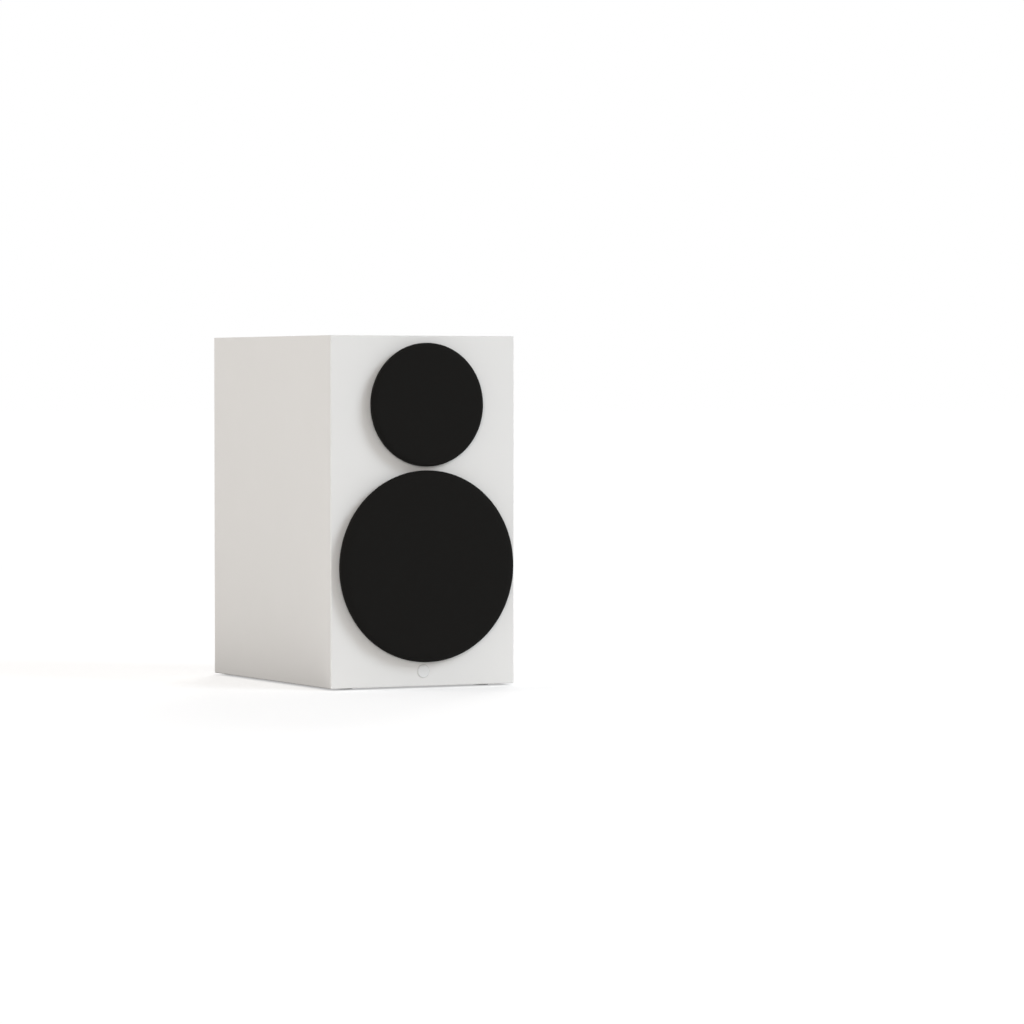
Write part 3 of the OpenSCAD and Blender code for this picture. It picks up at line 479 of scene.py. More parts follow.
RUBBER = partial(
    grained, rough=0.6, tint=(90, 4, (0.024, 0.024, 0.025), (0.040, 0.040, 0.041)),
    relief=(1800, 4, 0.00004), wear=(1800, 4, 0.52, 0.72))
SURFACES = {
    "white_cabinet": white_vinyl,
    "raw_mdf": raw_board,
    "wadding": fleece,
    "foot_rubber": RUBBER,
    "badge_plastic": partial(
        grained, rough=0.25, tint=(300, 2, (0.78, 0.78, 0.77), (0.81, 0.81, 0.80)),
        relief=(700, 2, 0.00001), Coat_Weight=0.4, Coat_Roughness=0.12),
    "grille_cloth": grille_cloth,
    "grille_frame": moulded,
    "trim_plastic": partial(moulded, color=(0.016, 0.016, 0.017), rough=0.34, grain=3200, depth=0.000015),
    "nickel": partial(plated, color=(0.72, 0.70, 0.66)),
    "black_screws": partial(
        grained, rough=0.4, tint=(900, 5, (0.022, 0.022, 0.024), (0.06, 0.06, 0.062)),
        relief=(2600, 3, 0.00002), Metallic=0.7),
    "basket_paint": partial(
        grained, rough=0.5, tint=(200, 4, (0.028, 0.028, 0.030), (0.048, 0.048, 0.050)),
        relief=(1500, 2, 0.00008)),
    "gasket_foam": foam,
    "butyl_rubber": RUBBER,
    "cone_paper": cone_pulp,
    "dust_cap": partial(
        grained, rough=0.38, tint=(200, 4, (0.020, 0.020, 0.022), (0.034, 0.034, 0.036)),
        relief=(1300, 3, 0.00004), Coat_Weight=0.15, Coat_Roughness=0.3),
    "spider_cloth": partial(open_cloth, dark=(0.30, 0.17, 0.05), light=(0.66, 0.44, 0.17), pitch=0.0007),
    "former_foil": partial(plated, color=(0.80, 0.80, 0.80), rough=0.3),
    "copper_wire": partial(wound_wire, color=(0.72, 0.33, 0.15), pitch=0.0006),
    "zinc_steel": zinc,
    "ferrite": partial(
        grained, rough=0.65, tint=(700, 7, (0.045, 0.045, 0.050), (0.11, 0.11, 0.115)),
        relief=(1000, 6, 0.00012)),
    "tag_board": phenolic,
    "silk_dome": partial(
        open_cloth, dark=(0.010,) * 3, light=(0.030,) * 3, pitch=0.0003, sheen=0.5, rough=0.55),
    "moulded_black": moulded,
    "gold_plate": partial(plated, color=(0.83, 0.60, 0.24)),
    "red_cap": partial(clear_tint, color=(0.50, 0.012, 0.012)),
    "black_cap": partial(clear_tint, color=(0.014, 0.014, 0.015)),
    "circuit_board": solder_mask,
    "wire_jacket": partial(
        grained, rough=0.4, tint=(200, 3, (0.36, 0.015, 0.015), (0.50, 0.03, 0.03)),
        relief=(1500, 2, 0.00003)),
}
SLOT_OF = {part["node"]: part["material_slot"] for part in frame["record"]["subparts"]}
BODY_OF = {node: body for body, nodes in frame["record"]["behaviour"]["bodies"].items() for node in nodes}
_made = {}


def surface(slot):
    if slot not in _made:
        _made[slot] = SURFACES[slot](slot).material
    return _made[slot]


def stands_for(obj, node, slot=None, ride=True):
    """Dresses a piece, and puts it in the place of a CAD node on that node's body."""
    slot = slot or SLOT_OF[node]
    obj.data.materials.clear()
    obj.data.materials.append(surface(slot))
    if ride:
        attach(obj, BODY_OF[node])
    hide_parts(node)
    return obj


# ---------------- cabinet

EDGE_R = 0.9 * MM
EDGE_STEPS = 4
# A face belongs to the skin where its normal comes this close to the skin's own
FACING = 0.7
# Openings in the panels, in millimetres: three radii, and the cup's width, height and corner
WOOFER_HOLE, TWEETER_HOLE, PORT_HOLE, CUP_HOLE = 64, 38, 36.3, (81.6, 61.6, 8.5)
FOOT_R = 8


def rounded_out(point):
    """(point, direction) on the cabinet's rounded skin under a point of its sharp box."""
    inner = Vector(min(max(point[i], CABINET_LOW[i] + EDGE_R), CABINET_HIGH[i] - EDGE_R) for i in range(3))
    direction = (point - inner).normalized()
    return inner + EDGE_R * direction, direction


def edge_lines(low, high):
    """Places of the grid lines across a panel: close together over its rounded edges."""
    turns = (radians(45 * (1 - k / EDGE_STEPS)) for k in range(EDGE_STEPS + 1))
    steps = [EDGE_R * (1 - tan(turn)) for turn in turns]
    return [low + s for s in steps] + [high - s for s in reversed(steps)]


def cabinet_panel(node, axis, outside):
    """One mitred panel whose outer edges are half of a rounded edge that it shares with its neighbour."""
    u, v = [i for i in range(3) if i != axis]
    face = CABINET_HIGH[axis] if outside > 0 else CABINET_LOW[axis]

    def place(a, b, depth):
        point = Vector((0, 0, 0))
        point[axis], point[u], point[v] = face - outside * depth, a, b
        return point

    bm = bmesh.new()
    us, vs = (edge_lines(CABINET_LOW[i], CABINET_HIGH[i]) for i in (u, v))
    grid = [[bm.verts.new(rounded_out(place(a, b, 0))[0]) for b in vs] for a in us]
    for i in range(len(us) - 1):
        for j in range(len(vs) - 1):
            bm.faces.new([grid[i][j], grid[i + 1][j], grid[i + 1][j + 1], grid[i][j + 1]])
    ends_u, ends_v = ((CABINET_LOW[i] + PANEL_T, CABINET_HIGH[i] - PANEL_T) for i in (u, v))
    inner = [[bm.verts.new(place(a, b, PANEL_T)) for b in ends_v] for a in ends_u]
    bm.faces.new([inner[0][0], inner[1][0], inner[1][1], inner[0][1]])
    for k in (0, -1):
        bm.faces.new(grid[k] + [inner[k][1], inner[k][0]])
        bm.faces.new([row[k] for row in grid] + [inner[1][k], inner[0][k]])
    return new_object(node, bm)


def skin_direction(spot, normal, reach):
    """The way out of the cabinet's skin at a spot of a face, or None where the face isn't skin."""
    on_skin, direction = rounded_out(spot)
    return direction if (on_skin - spot).length < reach and direction.dot(normal) > FACING else None


def true_normals(panel):
    """Gives the outer skin the normals of the rounded box, so that no mitre shows, and all else flat ones."""
    mesh = panel.data
    normals = np.zeros((len(mesh.loops), 3))
    for polygon in mesh.polygons:
        for k in polygon.loop_indices:
            spot = mesh.vertices[mesh.loops[k].vertex_index].co
            normals[k] = skin_direction(spot, polygon.normal, TINY) or polygon.normal
    mesh.shade_smooth()
    mesh.normals_split_custom_set(normals.tolist())


def bare_inside(panel):
    """Shows raw board where the white skin doesn't reach: a panel's back, its mitres and its cut edges."""
    panel.data.materials.append(surface("raw_mdf"))
    for polygon in panel.data.polygons:
        wrapped = skin_direction(polygon.center, polygon.normal, EDGE_R / 10)
        polygon.material_index = 0 if wrapped else 1


def driver_opening(axis, flange, hole_r):
    """Cutter for a driver's rebate and through hole."""
    flange_r, seat, _ = size(flange, axis)
    rebate_r = flange_r + 0.4
    outline = [(0, 1), (rebate_r, 1), (rebate_r, seat), (hole_r, seat), (hole_r, -20), (0, -20)]
    return turned("opening", outline, axis, 128)


def build_cabinet():
    for node, (axis, outside) in PANELS.items():
        panel = cabinet_panel("cabinet_" + node, axis, outside)
        if node == "front_baffle":
            cut(panel, driver_opening(WOOFER, "woofer_gasket", WOOFER_HOLE))
            cut(panel, driver_opening(TWEETER, "tweeter_gasket", TWEETER_HOLE))
        if node == "rear_panel":
            cut(panel, turned("hole", rod(PORT_HOLE, -20, 1), PORT, 128))
            cut(panel, lofted("hole", [round_rectangle(*CUP_HOLE, z) for z in (-20, 1)], CUP))
        true_normals(panel)
        stands_for(panel, node)
        bare_inside(panel)
    build_badge()
    build_feet()


def build_badge():
    radius, back, front = size("badge", BADGE)
    outline = profile(
        (0, back), (radius, back), (radius, front - 0.5, 0.3), (radius - 0.6, front, 0.5),
        (radius - 1.4, front, 0.4), (radius - 1.7, front - 0.15, 0.3), (0, front - 0.15))
    stands_for(turned("badge_button", outline, BADGE, 96), "badge")


def build_feet():
    low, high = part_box("rubber_feet")
    height = (high.z - low.z) / MM
    outline = profile((0, 0), (FOOT_R - 0.3, 0, 0.4), (FOOT_R, height), (0, height))
    places = [
        Matrix.Translation((x, y, low.z)) @ Matrix.Scale(MM, 4)
        for x in (low.x + FOOT_R * MM, high.x - FOOT_R * MM)
        for y in (low.y + FOOT_R * MM, high.y - FOOT_R * MM)
    ]
    stands_for(turned("foot_pads", outline, places, 96), "rubber_feet")


# ---------------- grilles

CLOTH_T = 0.5
CLOTH_SEGMENTS = 288
HEM_W = 3.5
RIM_RISE = 3.5
PLEATS = 72
# How many magnets a grille has, the radius of the circle they stand on, and their own radius
WOOFER_MAGNETS, TWEETER_MAGNETS = (6, 70, 3.5), (4, 43.9, 3)


def cloth_outline(radius, rim_w, back, front):
    """Outer face of the cloth from the middle of the front, round the rim, to the hem behind."""
    side = front - RIM_RISE
    flat = [(i * (radius - rim_w) / 6, front) for i in range(6)]
    rim = arc(radius - rim_w, side, rim_w, front - side, 90, 0, 14)
    hem = profile((radius, side), (radius, back, 0.8), (radius - HEM_W, back))
    return flat + rim + hem[1:]


def inset(outline, depth):
    """The outline moved sideways by a depth, to the right of its direction."""
    moved = []
    for i, point in enumerate(outline):
        before, after = outline[max(i - 1, 0)], outline[min(i + 1, len(outline) - 1)]
        along = (Vector(after) - Vector(before)).normalized()
        moved.append((point[0] + along.y * depth, point[1] - along.x * depth))
    return moved


def reach_along(outline):
    """How far along the outline each of its points is."""
    reach = [0.0]
    for a, b in zip(outline, outline[1:]):
        reach.append(reach[-1] + (Vector(b) - Vector(a)).length)
    return reach


def build_cloth(which, axis, rim_w):
    """A closed skin of stretched cloth, gathered into small pleats where it is glued behind the rim."""
    node = which + "_grille_fabric"
    radius, back, front = size(node, axis)
    outer = cloth_outline(radius, rim_w, back, front)
    inner = inset(outer, CLOTH_T)
    inner[0] = (0.0, front - CLOTH_T)

    def pleats(angle, r, z):
        if z > back + CLOTH_T + 0.2 or r > radius - 0.9:
            return r, z
        depth = 0.13 * min(1.0, (radius - 0.9 - r) / 1.2)
        return r + depth * sin(PLEATS * angle / 2), z + 0.7 * depth * (1 + sin(PLEATS * angle))

    cloth = turned(node + "_cloth", outer + inner[::-1], axis, CLOTH_SEGMENTS, pleats, smooth=50)
    lay_out_cloth(cloth, axis, reach_along(outer))
    stands_for(cloth, node)


def lay_out_cloth(cloth, axis, reach):
    """UVs in metres, measured along the cloth from its middle, so that the weave keeps its pitch."""
    rings = reach + reach[::-1]
    to_axis = axis.inverted()
    uv = cloth.data.uv_layers.new(name="cloth")
    for loop in cloth.data.loops:
        index = loop.vertex_index
        far = MM * rings[0 if index == 0 else 1 + (index - 1) // CLOTH_SEGMENTS]
        spot = to_axis @ cloth.data.vertices[index].co
        angle = atan2(spot.y, spot.x)
        uv.data[loop.index].uv = (far * cos(angle), far * sin(angle))


def build_magnets(node, axis, count, ring, radius, sunk):
    """Plated discs with broken edges. sunk is how far their faces lie below the CAD solid's."""
    _, back, front = size(node, axis)
    low, high = back + sunk, front - sunk
    outline = profile((0, low), (radius, low, 0.25), (radius, high, 0.25), (0, high))
    stands_for(turned(node + "_discs", outline, around(axis, count, ring), 64), node)


def build_trim_ring(which, axis, roof_in, foot_in, hollow, count, magnet_ring, magnet_r):
    """Moulded ring with a fine groove on its roof, a bevel towards the cone and pockets for the magnets."""
    node = which + "_trim_ring"
    radius, foot, top = size(node, axis)
    groove = roof_in + 1.8
    outline = filleted([
        (hollow[1], 0), (radius, 0, 0.3), (radius, top - 1.4, 0.7), (radius - 1.4, top, 0.7),
        (groove + 0.3, top, 0.12), (groove + 0.15, top - 0.3), (groove - 0.15, top - 0.3),
        (groove - 0.3, top, 0.12), (roof_in, top, 0.5), (foot_in, top - 3, 0.8), (foot_in, foot),
        (hollow[0], foot), (hollow[0], 3), (hollow[1], 3),
    ])
    ring = turned(node + "_moulding", outline, axis, 192)
    pockets = turned("pockets", rod(magnet_r + 0.05, 2, 8), around(axis, count, magnet_ring), 48)
    stands_for(cut(ring, pockets), node)


def build_grilles():
    build_cloth("woofer", WOOFER, 9)
    build_cloth("tweeter", TWEETER, 5)
    for part, sunk in (("grille", 0.0), ("ring", 0.12)):
        build_magnets(f"woofer_{part}_magnets", WOOFER, *WOOFER_MAGNETS, sunk)
        build_magnets(f"tweeter_{part}_magnets", TWEETER, *TWEETER_MAGNETS, sunk)
    build_trim_ring("woofer", WOOFER, 64.4, 62.6, (65.1, 75.6), *WOOFER_MAGNETS)
    build_trim_ring("tweeter", TWEETER, 39.6, 37.6, (40.4, 47.4), *TWEETER_MAGNETS)


# ---------------- woofer

CONE_T = 0.9
NECK_R, LIP_R = 13.0, 44.6
RIB_RADII = (25.0, 31.0, 37.0)


def cone_z(r):
    """Height of the cone's front surface at a radius: a flared section with three low pressed ribs."""
    _, back, front = size("woofer_cone", WOOFER)
    deep = (1 - min((r - NECK_R) / (LIP_R - NECK_R), 1)) ** 1.3
    ribs = sum(0.25 * exp(-(((r - rib) / 0.5) ** 2)) for rib in RIB_RADII)
    return front - (front - back - CONE_T) * deep + ribs


def half_roll(in_r, out_r, mid, roll, t, base, foot):
    """Outline of a half-roll edge with flat feet, whose upper faces are at the height foot."""
    outline = [(in_r, base), (in_r, foot)] if in_r < mid - roll else [(in_r, base)]
    outline += arc(mid, foot, roll, roll, 180, 0, 32)
    outline += [(out_r, foot), (out_r, base), (mid + roll - t, base)]
    outline += arc(mid, foot, roll - t, roll - t, 0, 180, 32)
    return outline + [(mid - roll + t, base)]


def flexes(obj, node, axis, fixed_r, moving_r):
    """Dresses a flexing ring, baked in place on no body. How much of the way from fixed_r to moving_r each
    point lies is worked out, but nothing uses it.
    """
    stands_for(obj, node, ride=False)
    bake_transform(obj)
    to_axis = axis.inverted()
    radii = np.array([(to_axis @ v.co).xy.length for v in obj.data.vertices])
    share = np.clip((fixed_r - radii) / (fixed_r - moving_r), 0, 1)
    share = share * share * (3 - 2 * share)


def build_cone():
    steps = np.linspace(LIP_R, NECK_R, 110)
    lip_r, _, lip = size("woofer_cone", WOOFER)
    front = [(r, cone_z(r)) for r in steps]
    back = [(r, z - CONE_T) for r, z in reversed(front)]
    outline = [(lip_r, lip - CONE_T), (lip_r, lip)] + front + back
    stands_for(turned("woofer_cone_pressing", outline, WOOFER, 224), "woofer_cone")


def dome(radius, rise, top, wall, steps=28):
    """Outline of a thin spherical cap, from the axis at its top to the axis under its lining."""
    ball = (radius ** 2 + rise ** 2) / (2 * rise)
    sweep = degrees(asin(radius / ball))
    outline = arc(0, top - ball, ball, ball, 90, 90 - sweep, steps)
    outline += arc(0, top - ball, ball - wall, ball - wall, 90 - sweep, 90, steps)
    outline[0], outline[-1] = (0, outline[0][1]), (0, outline[-1][1])
    return outline


def build_dust_cap():
    radius, edge, top = size("woofer_dust_cap", WOOFER)
    outline = [(r, max(z, edge)) for r, z in dome(radius, top - edge, top, 0.8)]
    stands_for(turned("woofer_dust_cap_shell", outline, WOOFER, 192), "woofer_dust_cap")


def build_spider():
    """Corrugated disc between the coil former and the basket's landing."""
    out_r, low, high = size("woofer_spider", WOOFER)
    inner, flat, swing, t = 12.95, 35.1, 1.0, 0.6
    foot = (low + high - t) / 2
    radii = np.linspace(inner, flat, 97)
    wave = [(r, foot + swing * sin(8 * pi * (r - inner) / (flat - inner))) for r in radii]
    outline = [(r, z + t) for r, z in wave] + [(out_r, foot + t), (out_r, foot)] + wave[::-1]
    spider = turned("woofer_spider_cloth", outline, WOOFER, 160, smooth=60)
    flexes(spider, "woofer_spider", WOOFER, 35.1, 14)


def smooth_path(points, steps):
    """Points on a smooth curve through given points."""
    last, line = len(points) - 1, []
    points = [Vector(p) for p in points]
    for i in range(steps + 1):
        s = min(int(i / steps * last), last - 1)
        f = i / steps * last - s
        a, b, c, d = (points[min(max(s + k, 0), last)] for k in (-1, 0, 1, 2))
        line.append(0.5 * (2 * b + (c - a) * f + (2 * a - 5 * b + 4 * c - d) * f * f
                           + (3 * b - a - 3 * c + d) * f ** 3))
    return line


def tube(bm, line, radius, place, sides=16, braid=0.0):
    """Sweeps a round section along a line. braid is the depth of two sets of crossing grooves."""
    across, rings = Vector((0.2, 1, 0.1)), []
    for i, point in enumerate(line):
        along = (line[min(i + 1, len(line) - 1)] - line[max(i - 1, 0)]).normalized()
        across = (across - across.dot(along) * along).normalized()
        up = along.cross(across)
        ring = []
        for k in range(sides):
            a = 2 * pi * k / sides
            r = radius - braid * abs(sin(2 * a + i * 0.9) * sin(2 * a - i * 0.9))
            ring.append(place @ (point + r * (cos(a) * across + sin(a) * up)))
        rings.append(ring)
    add_rings(bm, rings, capped=True)


def build_tinsel_leads():
    """Braided leads from the tag strip, through a window in the basket, to the back of the cone."""
    bm = bmesh.new()
    end = cone_z(25) - CONE_T - 1.3
    for side in (-1, 1):
        y = 5 * side
        route = [(-46, y, -35.8), (-48.5, y, -30.5), (-46.5, y, -26), (-38, y, -25), (-30, y, -22.5),
                 (-24.5, 4.6 * side, end)]
        tube(bm, smooth_path(route, 90), 0.6, WOOFER, braid=0.12)
    leads = stands_for(new_object("woofer_tinsel_braids", bm), "woofer_tinsel_leads", ride=False)
    start, end = (WOOFER @ Vector((x, 0, -25)) for x in (-45, -26))
    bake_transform(leads)


def build_woofer():
    build_cone()
    build_dust_cap()
    build_spider()
    build_tinsel_leads()
    base = size("woofer_surround", WOOFER)[1]
    roll = turned("woofer_surround_roll", half_roll(45, 65, 55, 6, 0.8, base, base + 0.8), WOOFER, 224)
    flexes(roll, "woofer_surround", WOOFER, 61, 49.6)


# ---------------- tweeter


def build_tweeter():
    radius, back, face = size("tweeter_faceplate", TWEETER)
    dome_r, _, dome_top = size("tweeter_dome", TWEETER)
    seat = -4.0
    guide = [(20 + 16 * i / 24, face - 3.3 * (1 - i / 24) ** 1.7) for i in range(25)]
    outline = [(17.2, back), (17.2, seat), (20, seat)] + guide
    edge = face - 4
    outline += profile((36, face), (radius, face, 0.8), (radius, edge), (36.5, edge), (36.5, back))[1:]
    plate = turned("tweeter_faceplate_moulding", outline, TWEETER, 192)
    holes = turned("holes", rod(1.7, -6, 1), around(TWEETER, 4, 43.5, 45), 48)
    stands_for(cut(plate, holes), "tweeter_faceplate")

    outline = dome(dome_r, 5.6, dome_top, 0.4)
    stands_for(turned("tweeter_dome_shell", outline, TWEETER, 160, smooth=50), "tweeter_dome")

    base = size("tweeter_surround", TWEETER)[1] + 0.025
    outline = half_roll(13.05, 19.8, 15.05, 2, 0.4, base, seat + 0.4)
    roll = turned("tweeter_surround_roll", outline, TWEETER, 160)
    flexes(roll, "tweeter_surround", TWEETER, 17.05, 13.05)


# ---------------- rear


def build_port():
    """One moulding: a flange with soft edges, a flared mouth, the tube and its inner flare."""
    radius, inner_end, lip = size("port_tube", PORT)
    bore, flare, wall, end_flare = 22, 14, 2.5, 12
    mouth, end_r, end_z = bore + flare, bore + end_flare, inner_end + end_flare
    outline = profile(
        (mouth, 0), (radius, 0, 0.3), (radius, 2.2, 1.2), (radius - 1.8, lip, 1.2), (mouth, lip))
    outline += arc(mouth, lip - flare, flare, flare, 90, 180, 28)[1:]
    outline += arc(end_r, end_z, end_flare, end_flare, 180, 270, 20)
    outline += [(end_r, inner_end + wall)]
    outline += arc(end_r, end_z, end_flare - wall, end_flare - wall, 270, 180, 20)[1:]
    outline += arc(mouth, lip - flare, flare - wall, flare - wall, 180, 90, 20)
    stands_for(turned("port_tube_moulding", outline, PORT, 160), "port_tube")


CUP_OUT, CUP_IN, CUP_BODY = (96, 76, 10), (76, 56, 6), (81, 61, 8.5)
CUP_SCREWS = [(x * 42, y * 32) for x in (-1, 1) for y in (-1, 1)]
POST_X = 14


def grown(rectangle, margin, z):
    w, h, corner = rectangle
    return round_rectangle(w + 2 * margin, h + 2 * margin, max(corner + margin, 0.5), z)


def build_terminal_cup():
    """A moulded cup with a soft floor, and counterbores for its screws."""
    _, bottom, lip = size("terminal_cup", CUP)
    floor, seat, soft, edge = bottom + 2.5, 1.0, 3.0, 0.9
    rings = [grown(CUP_IN, x - soft, floor + soft - y) for y, x in arc(0, 0, soft, soft, 0, 90, 6)]
    rings += [grown(CUP_IN, edge - x, lip - edge + y) for x, y in arc(0, 0, edge, edge, 0, 90, 5)]
    rings += [grown(CUP_OUT, y - edge, lip - edge + x) for x, y in arc(0, 0, edge, edge, 0, 90, 5)]
    rings += [grown(CUP_OUT, 0, seat), grown(CUP_BODY, 0, seat), grown(CUP_BODY, 0, bottom)]
    cup = lofted("terminal_cup_moulding", rings, CUP)
    bm = bmesh.new()
    for x in (-POST_X, POST_X):
        add_rings(bm, turned_rings(rod(4.1, bottom - 1, floor + 1), at(CUP, x, 0), 64))
    bore = [(0, 0), (1.7, 0), (1.7, lip - 1.8), (3.4, lip - 1.8), (3.4, lip + 1), (0, lip + 1)]
    for x, y in CUP_SCREWS:
        add_rings(bm, turned_rings(bore, at(CUP, x, y), 64))
    stands_for(cut(cup, new_object("holes", bm)), "terminal_cup")
    build_polarity_marks(floor)


def polarity_outline(crossed, margin, z):
    """Corners of a plus, or of a minus where it isn't crossed."""
    arm, half = 2.5 - margin, 0.55 - margin
    side = [(arm, -half), (arm, half)] + [(half, half)] * crossed
    turns = [Matrix.Rotation(radians(angle), 3, "Z") for angle in range(0, 360, 90 if crossed else 180)]
    return [turn @ Vector((x, y, z)) for turn in turns for x, y in side]


def build_polarity_marks(floor):
    """Raised plus and minus on the floor of the cup, above the posts."""
    bm = bmesh.new()
    for x, crossed in ((-POST_X, True), (POST_X, False)):
        place = at(CUP, x, -16)
        levels = ((0, floor - 0.05), (0, floor + 0.4), (0.15, floor + 0.55))
        add_loft(bm, [polarity_outline(crossed, margin, z) for margin, z in levels], place)
    marks = new_object("terminal_cup_polarity_marks", bm)
    marks.data.materials.append(surface("badge_plastic"))
    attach(marks, "cabinet")


def build_cup_screws():
    """Pan heads with a cross recess."""
    _, tip, top = size("terminal_screws", CUP)
    under = top - 1.6
    outline = profile(
        (0, tip), (0.3, tip), (1.4, tip + 2.5), (1.4, under), (3.2, under), (3.2, top - 0.7, 0.6),
        (2.2, top, 0.8), (0, top))
    screws = turned("terminal_screw_set", outline, [at(CUP, x, y) for x, y in CUP_SCREWS], 64)
    levels = ((0.55, top - 1.1), (1, top + 0.1))
    for x, y in CUP_SCREWS:
        for w, h in ((3.4, 0.75), (0.75, 3.4)):
            rings = [round_rectangle(w * k, h * k, 0.15, z, 2) for k, z in levels]
            cut(screws, lofted("recess", rings, at(CUP, x, y)))
    stands_for(screws, "terminal_screws")


THREAD_PITCH = 1.0
STEM_R, SOCKET_R, FLUTES = 3.9, 2.05, 14


def build_post(which, side):
    axis = at(CUP, side * POST_X, 0)
    build_stem(which, axis)
    build_washer(which, axis)
    build_cap(which, axis)


def build_stem(which, axis):
    """Plated post: collar, a true helical thread, the plug's socket and a cross hole for bare wire."""
    node = which + "_post_stem"
    collar_r, tail, mouth = size(node, axis)
    base, collar_top = mouth - 16.5, mouth - 13.5

    def thread(angle, r, z):
        if abs(r - STEM_R) > TINY or z < collar_top + 0.4 or z > mouth - 0.9:
            return r, z
        turn = (z / THREAD_PITCH - angle / (2 * pi)) % 1
        return r - 0.5 * max(0.0, abs(turn - 0.5) - 0.1), z

    outline = profile(
        (0, tail), (STEM_R - 0.4, tail), (STEM_R, tail + 0.4), (STEM_R, base), (collar_r, base, 0.3),
        (collar_r, collar_top, 0.5), (STEM_R, collar_top))
    outline += [(STEM_R, z) for z in np.arange(collar_top + 0.1, mouth - 0.5, THREAD_PITCH / 12)]
    outline += profile(
        (STEM_R, mouth - 0.5), (STEM_R - 0.5, mouth, 0.2), (SOCKET_R + 0.5, mouth, 0.3),
        (SOCKET_R, mouth - 0.7), (SOCKET_R, mouth - 14), (0, mouth - 14))
    stem = turned(node + "_turning", outline, axis, 96, thread)
    across = at(axis, 0, 0, collar_top + 2.2) @ Matrix.Rotation(pi / 2, 4, "X")
    hole = turned("hole", rod(1.3, -10, 10), across, 48)
    stands_for(cut(stem, hole), node)


def build_washer(which, axis):
    node = which + "_post_washer"
    radius, low, high = size(node, axis)
    bore = STEM_R + 0.14
    outline = filleted([(bore, low, 0.2), (radius, low, 0.35), (radius, high, 0.35), (bore, high, 0.2)])
    stands_for(turned(node + "_ring", outline, axis, 128), node)


def build_cap(which, axis):
    """A fluted plastic sleeve on a threaded brass insert."""
    node = which + "_post_cap"
    radius, low, high = size(node, axis)
    flute_low = low + 2.5

    def flutes(angle, r, z):
        if r < radius - 1.5 or z < flute_low - 1.2:
            return r, z
        depth = 0.62 * min(1.0, (z - flute_low + 1.2) / 1.2)
        scallop = max(0.0, cos(FLUTES * angle)) ** 0.6
        return r - depth * scallop, z

    inner, foot, head = 5.45, low + 0.3, high - 0.3
    side = [(radius, z) for z in np.linspace(low + 1.6, high - 1.4, 24)]
    outline = profile((inner, foot), (radius - 1, foot, 0.5), (radius, foot + 1, 0.5), side[0])
    outline += side[1:]
    outline += profile(side[-1], (radius, head - 0.9, 0.6), (radius - 1.1, head, 0.8), (inner, head))[1:]
    stands_for(turned(node + "_sleeve", outline, axis, 24 * FLUTES, flutes), node)

    bore, rim, hole, lip = STEM_R + 0.07, 5.4, 2.6, high - 1.7
    outline = filleted([
        (bore, low), (rim, low, 0.2), (rim, high, 0.4), (hole + 0.6, high, 0.2), (hole, high - 0.6),
        (hole, lip), (bore, lip)])
    stands_for(turned(node + "_insert", outline, axis, 96), node, slot="gold_plate")


def build_rear():
    build_port()
    build_terminal_cup()
    build_cup_screws()
    build_post("red", -1)
    build_post("black", 1)


# ---------------- inside


def build_wadding(which):
    """Two thick pads of loose fibre with crushed edges and an uneven face."""
    node = which + "_wadding"
    low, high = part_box(node)
    inner = 1 if which == "left" else -1
    bm = bmesh.new()
    for bottom, top in ((low.z, low.z + 0.140), (high.z - 0.084, high.z)):
        middle = Vector(((low.x + high.x) / 2, (low.y + high.y) / 2, (bottom + top) / 2))
        half = Vector(((high.x - low.x) / 2, (high.y - low.y) / 2, (top - bottom) / 2))
        pad = bmesh.new()
        bmesh.ops.create_cube(pad, size=2)
        bmesh.ops.subdivide_edges(pad, edges=pad.edges, cuts=22, use_grid_fill=True)
        for v in pad.verts:
            x, y, z = v.co
            squeeze = (1 - abs(y) ** 6) * (1 - abs(z) ** 6)
            tuft = 0.10 * sin(9 * y + 2) * sin(7 * z) + 0.05 * sin(31 * y + 17 * z)
            depth = 1.0 if x * inner < 0 else 0.45 + (0.42 + tuft) * squeeze
            v.co = middle + Vector((x * depth * half.x, y * half.y, z * half.z))
        mesh = bpy.data.meshes.new("pad")
        pad.to_mesh(mesh)
        pad.free()
        bm.from_mesh(mesh)
    pads = stands_for(new_object(node + "_pads", bm, 60), node)


INSIDE = Matrix.Translation((0, FACE_Y, CABINET_LOW.z)) @ Matrix.Scale(MM, 4)
BOARD_TOP = (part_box("crossover_board")[1].z - CABINET_LOW.z) / MM
BOARD = INSIDE @ Matrix.Translation((0, 120, BOARD_TOP))
# Places on the board: x and y, then outer and inner radius and height, or length and radius
INDUCTORS = [(-27, 26, 21, 9, 20), (32, 19, 13, 5, 13)]
CAPACITORS = [(6, 4, 32, 8), (34, 42, 30, 7), (14, 44, 28, 6)]
RESISTORS = [(-33, 52), (-33, 65)]
RESISTOR_L, RESISTOR_W = 26, 8
LEAD_R, LEAD_OUT, WIRE_R = 0.4, 2.4, 1.1


def winding(inner, outer, height, turns_per_mm=0.8):
    """Section of a coil of thick wire: each side is a row of round turns."""
    corners = [(inner, 0.1), (outer, 0.1), (outer, height), (inner, height)]
    outline = []
    for a, b in zip(corners, corners[1:] + corners[:1]):
        a, b = Vector(a), Vector(b)
        count = round((b - a).length * turns_per_mm)
        inwards = Vector((-(b - a).y, (b - a).x)).normalized()
        for i in range(count * 6):
            sunk = 0.3 * (1 - abs(sin(pi * (i + 0.5) / 6)))
            outline.append(tuple(a.lerp(b, (i + 0.5) / (count * 6)) + sunk * inwards))
    return outline


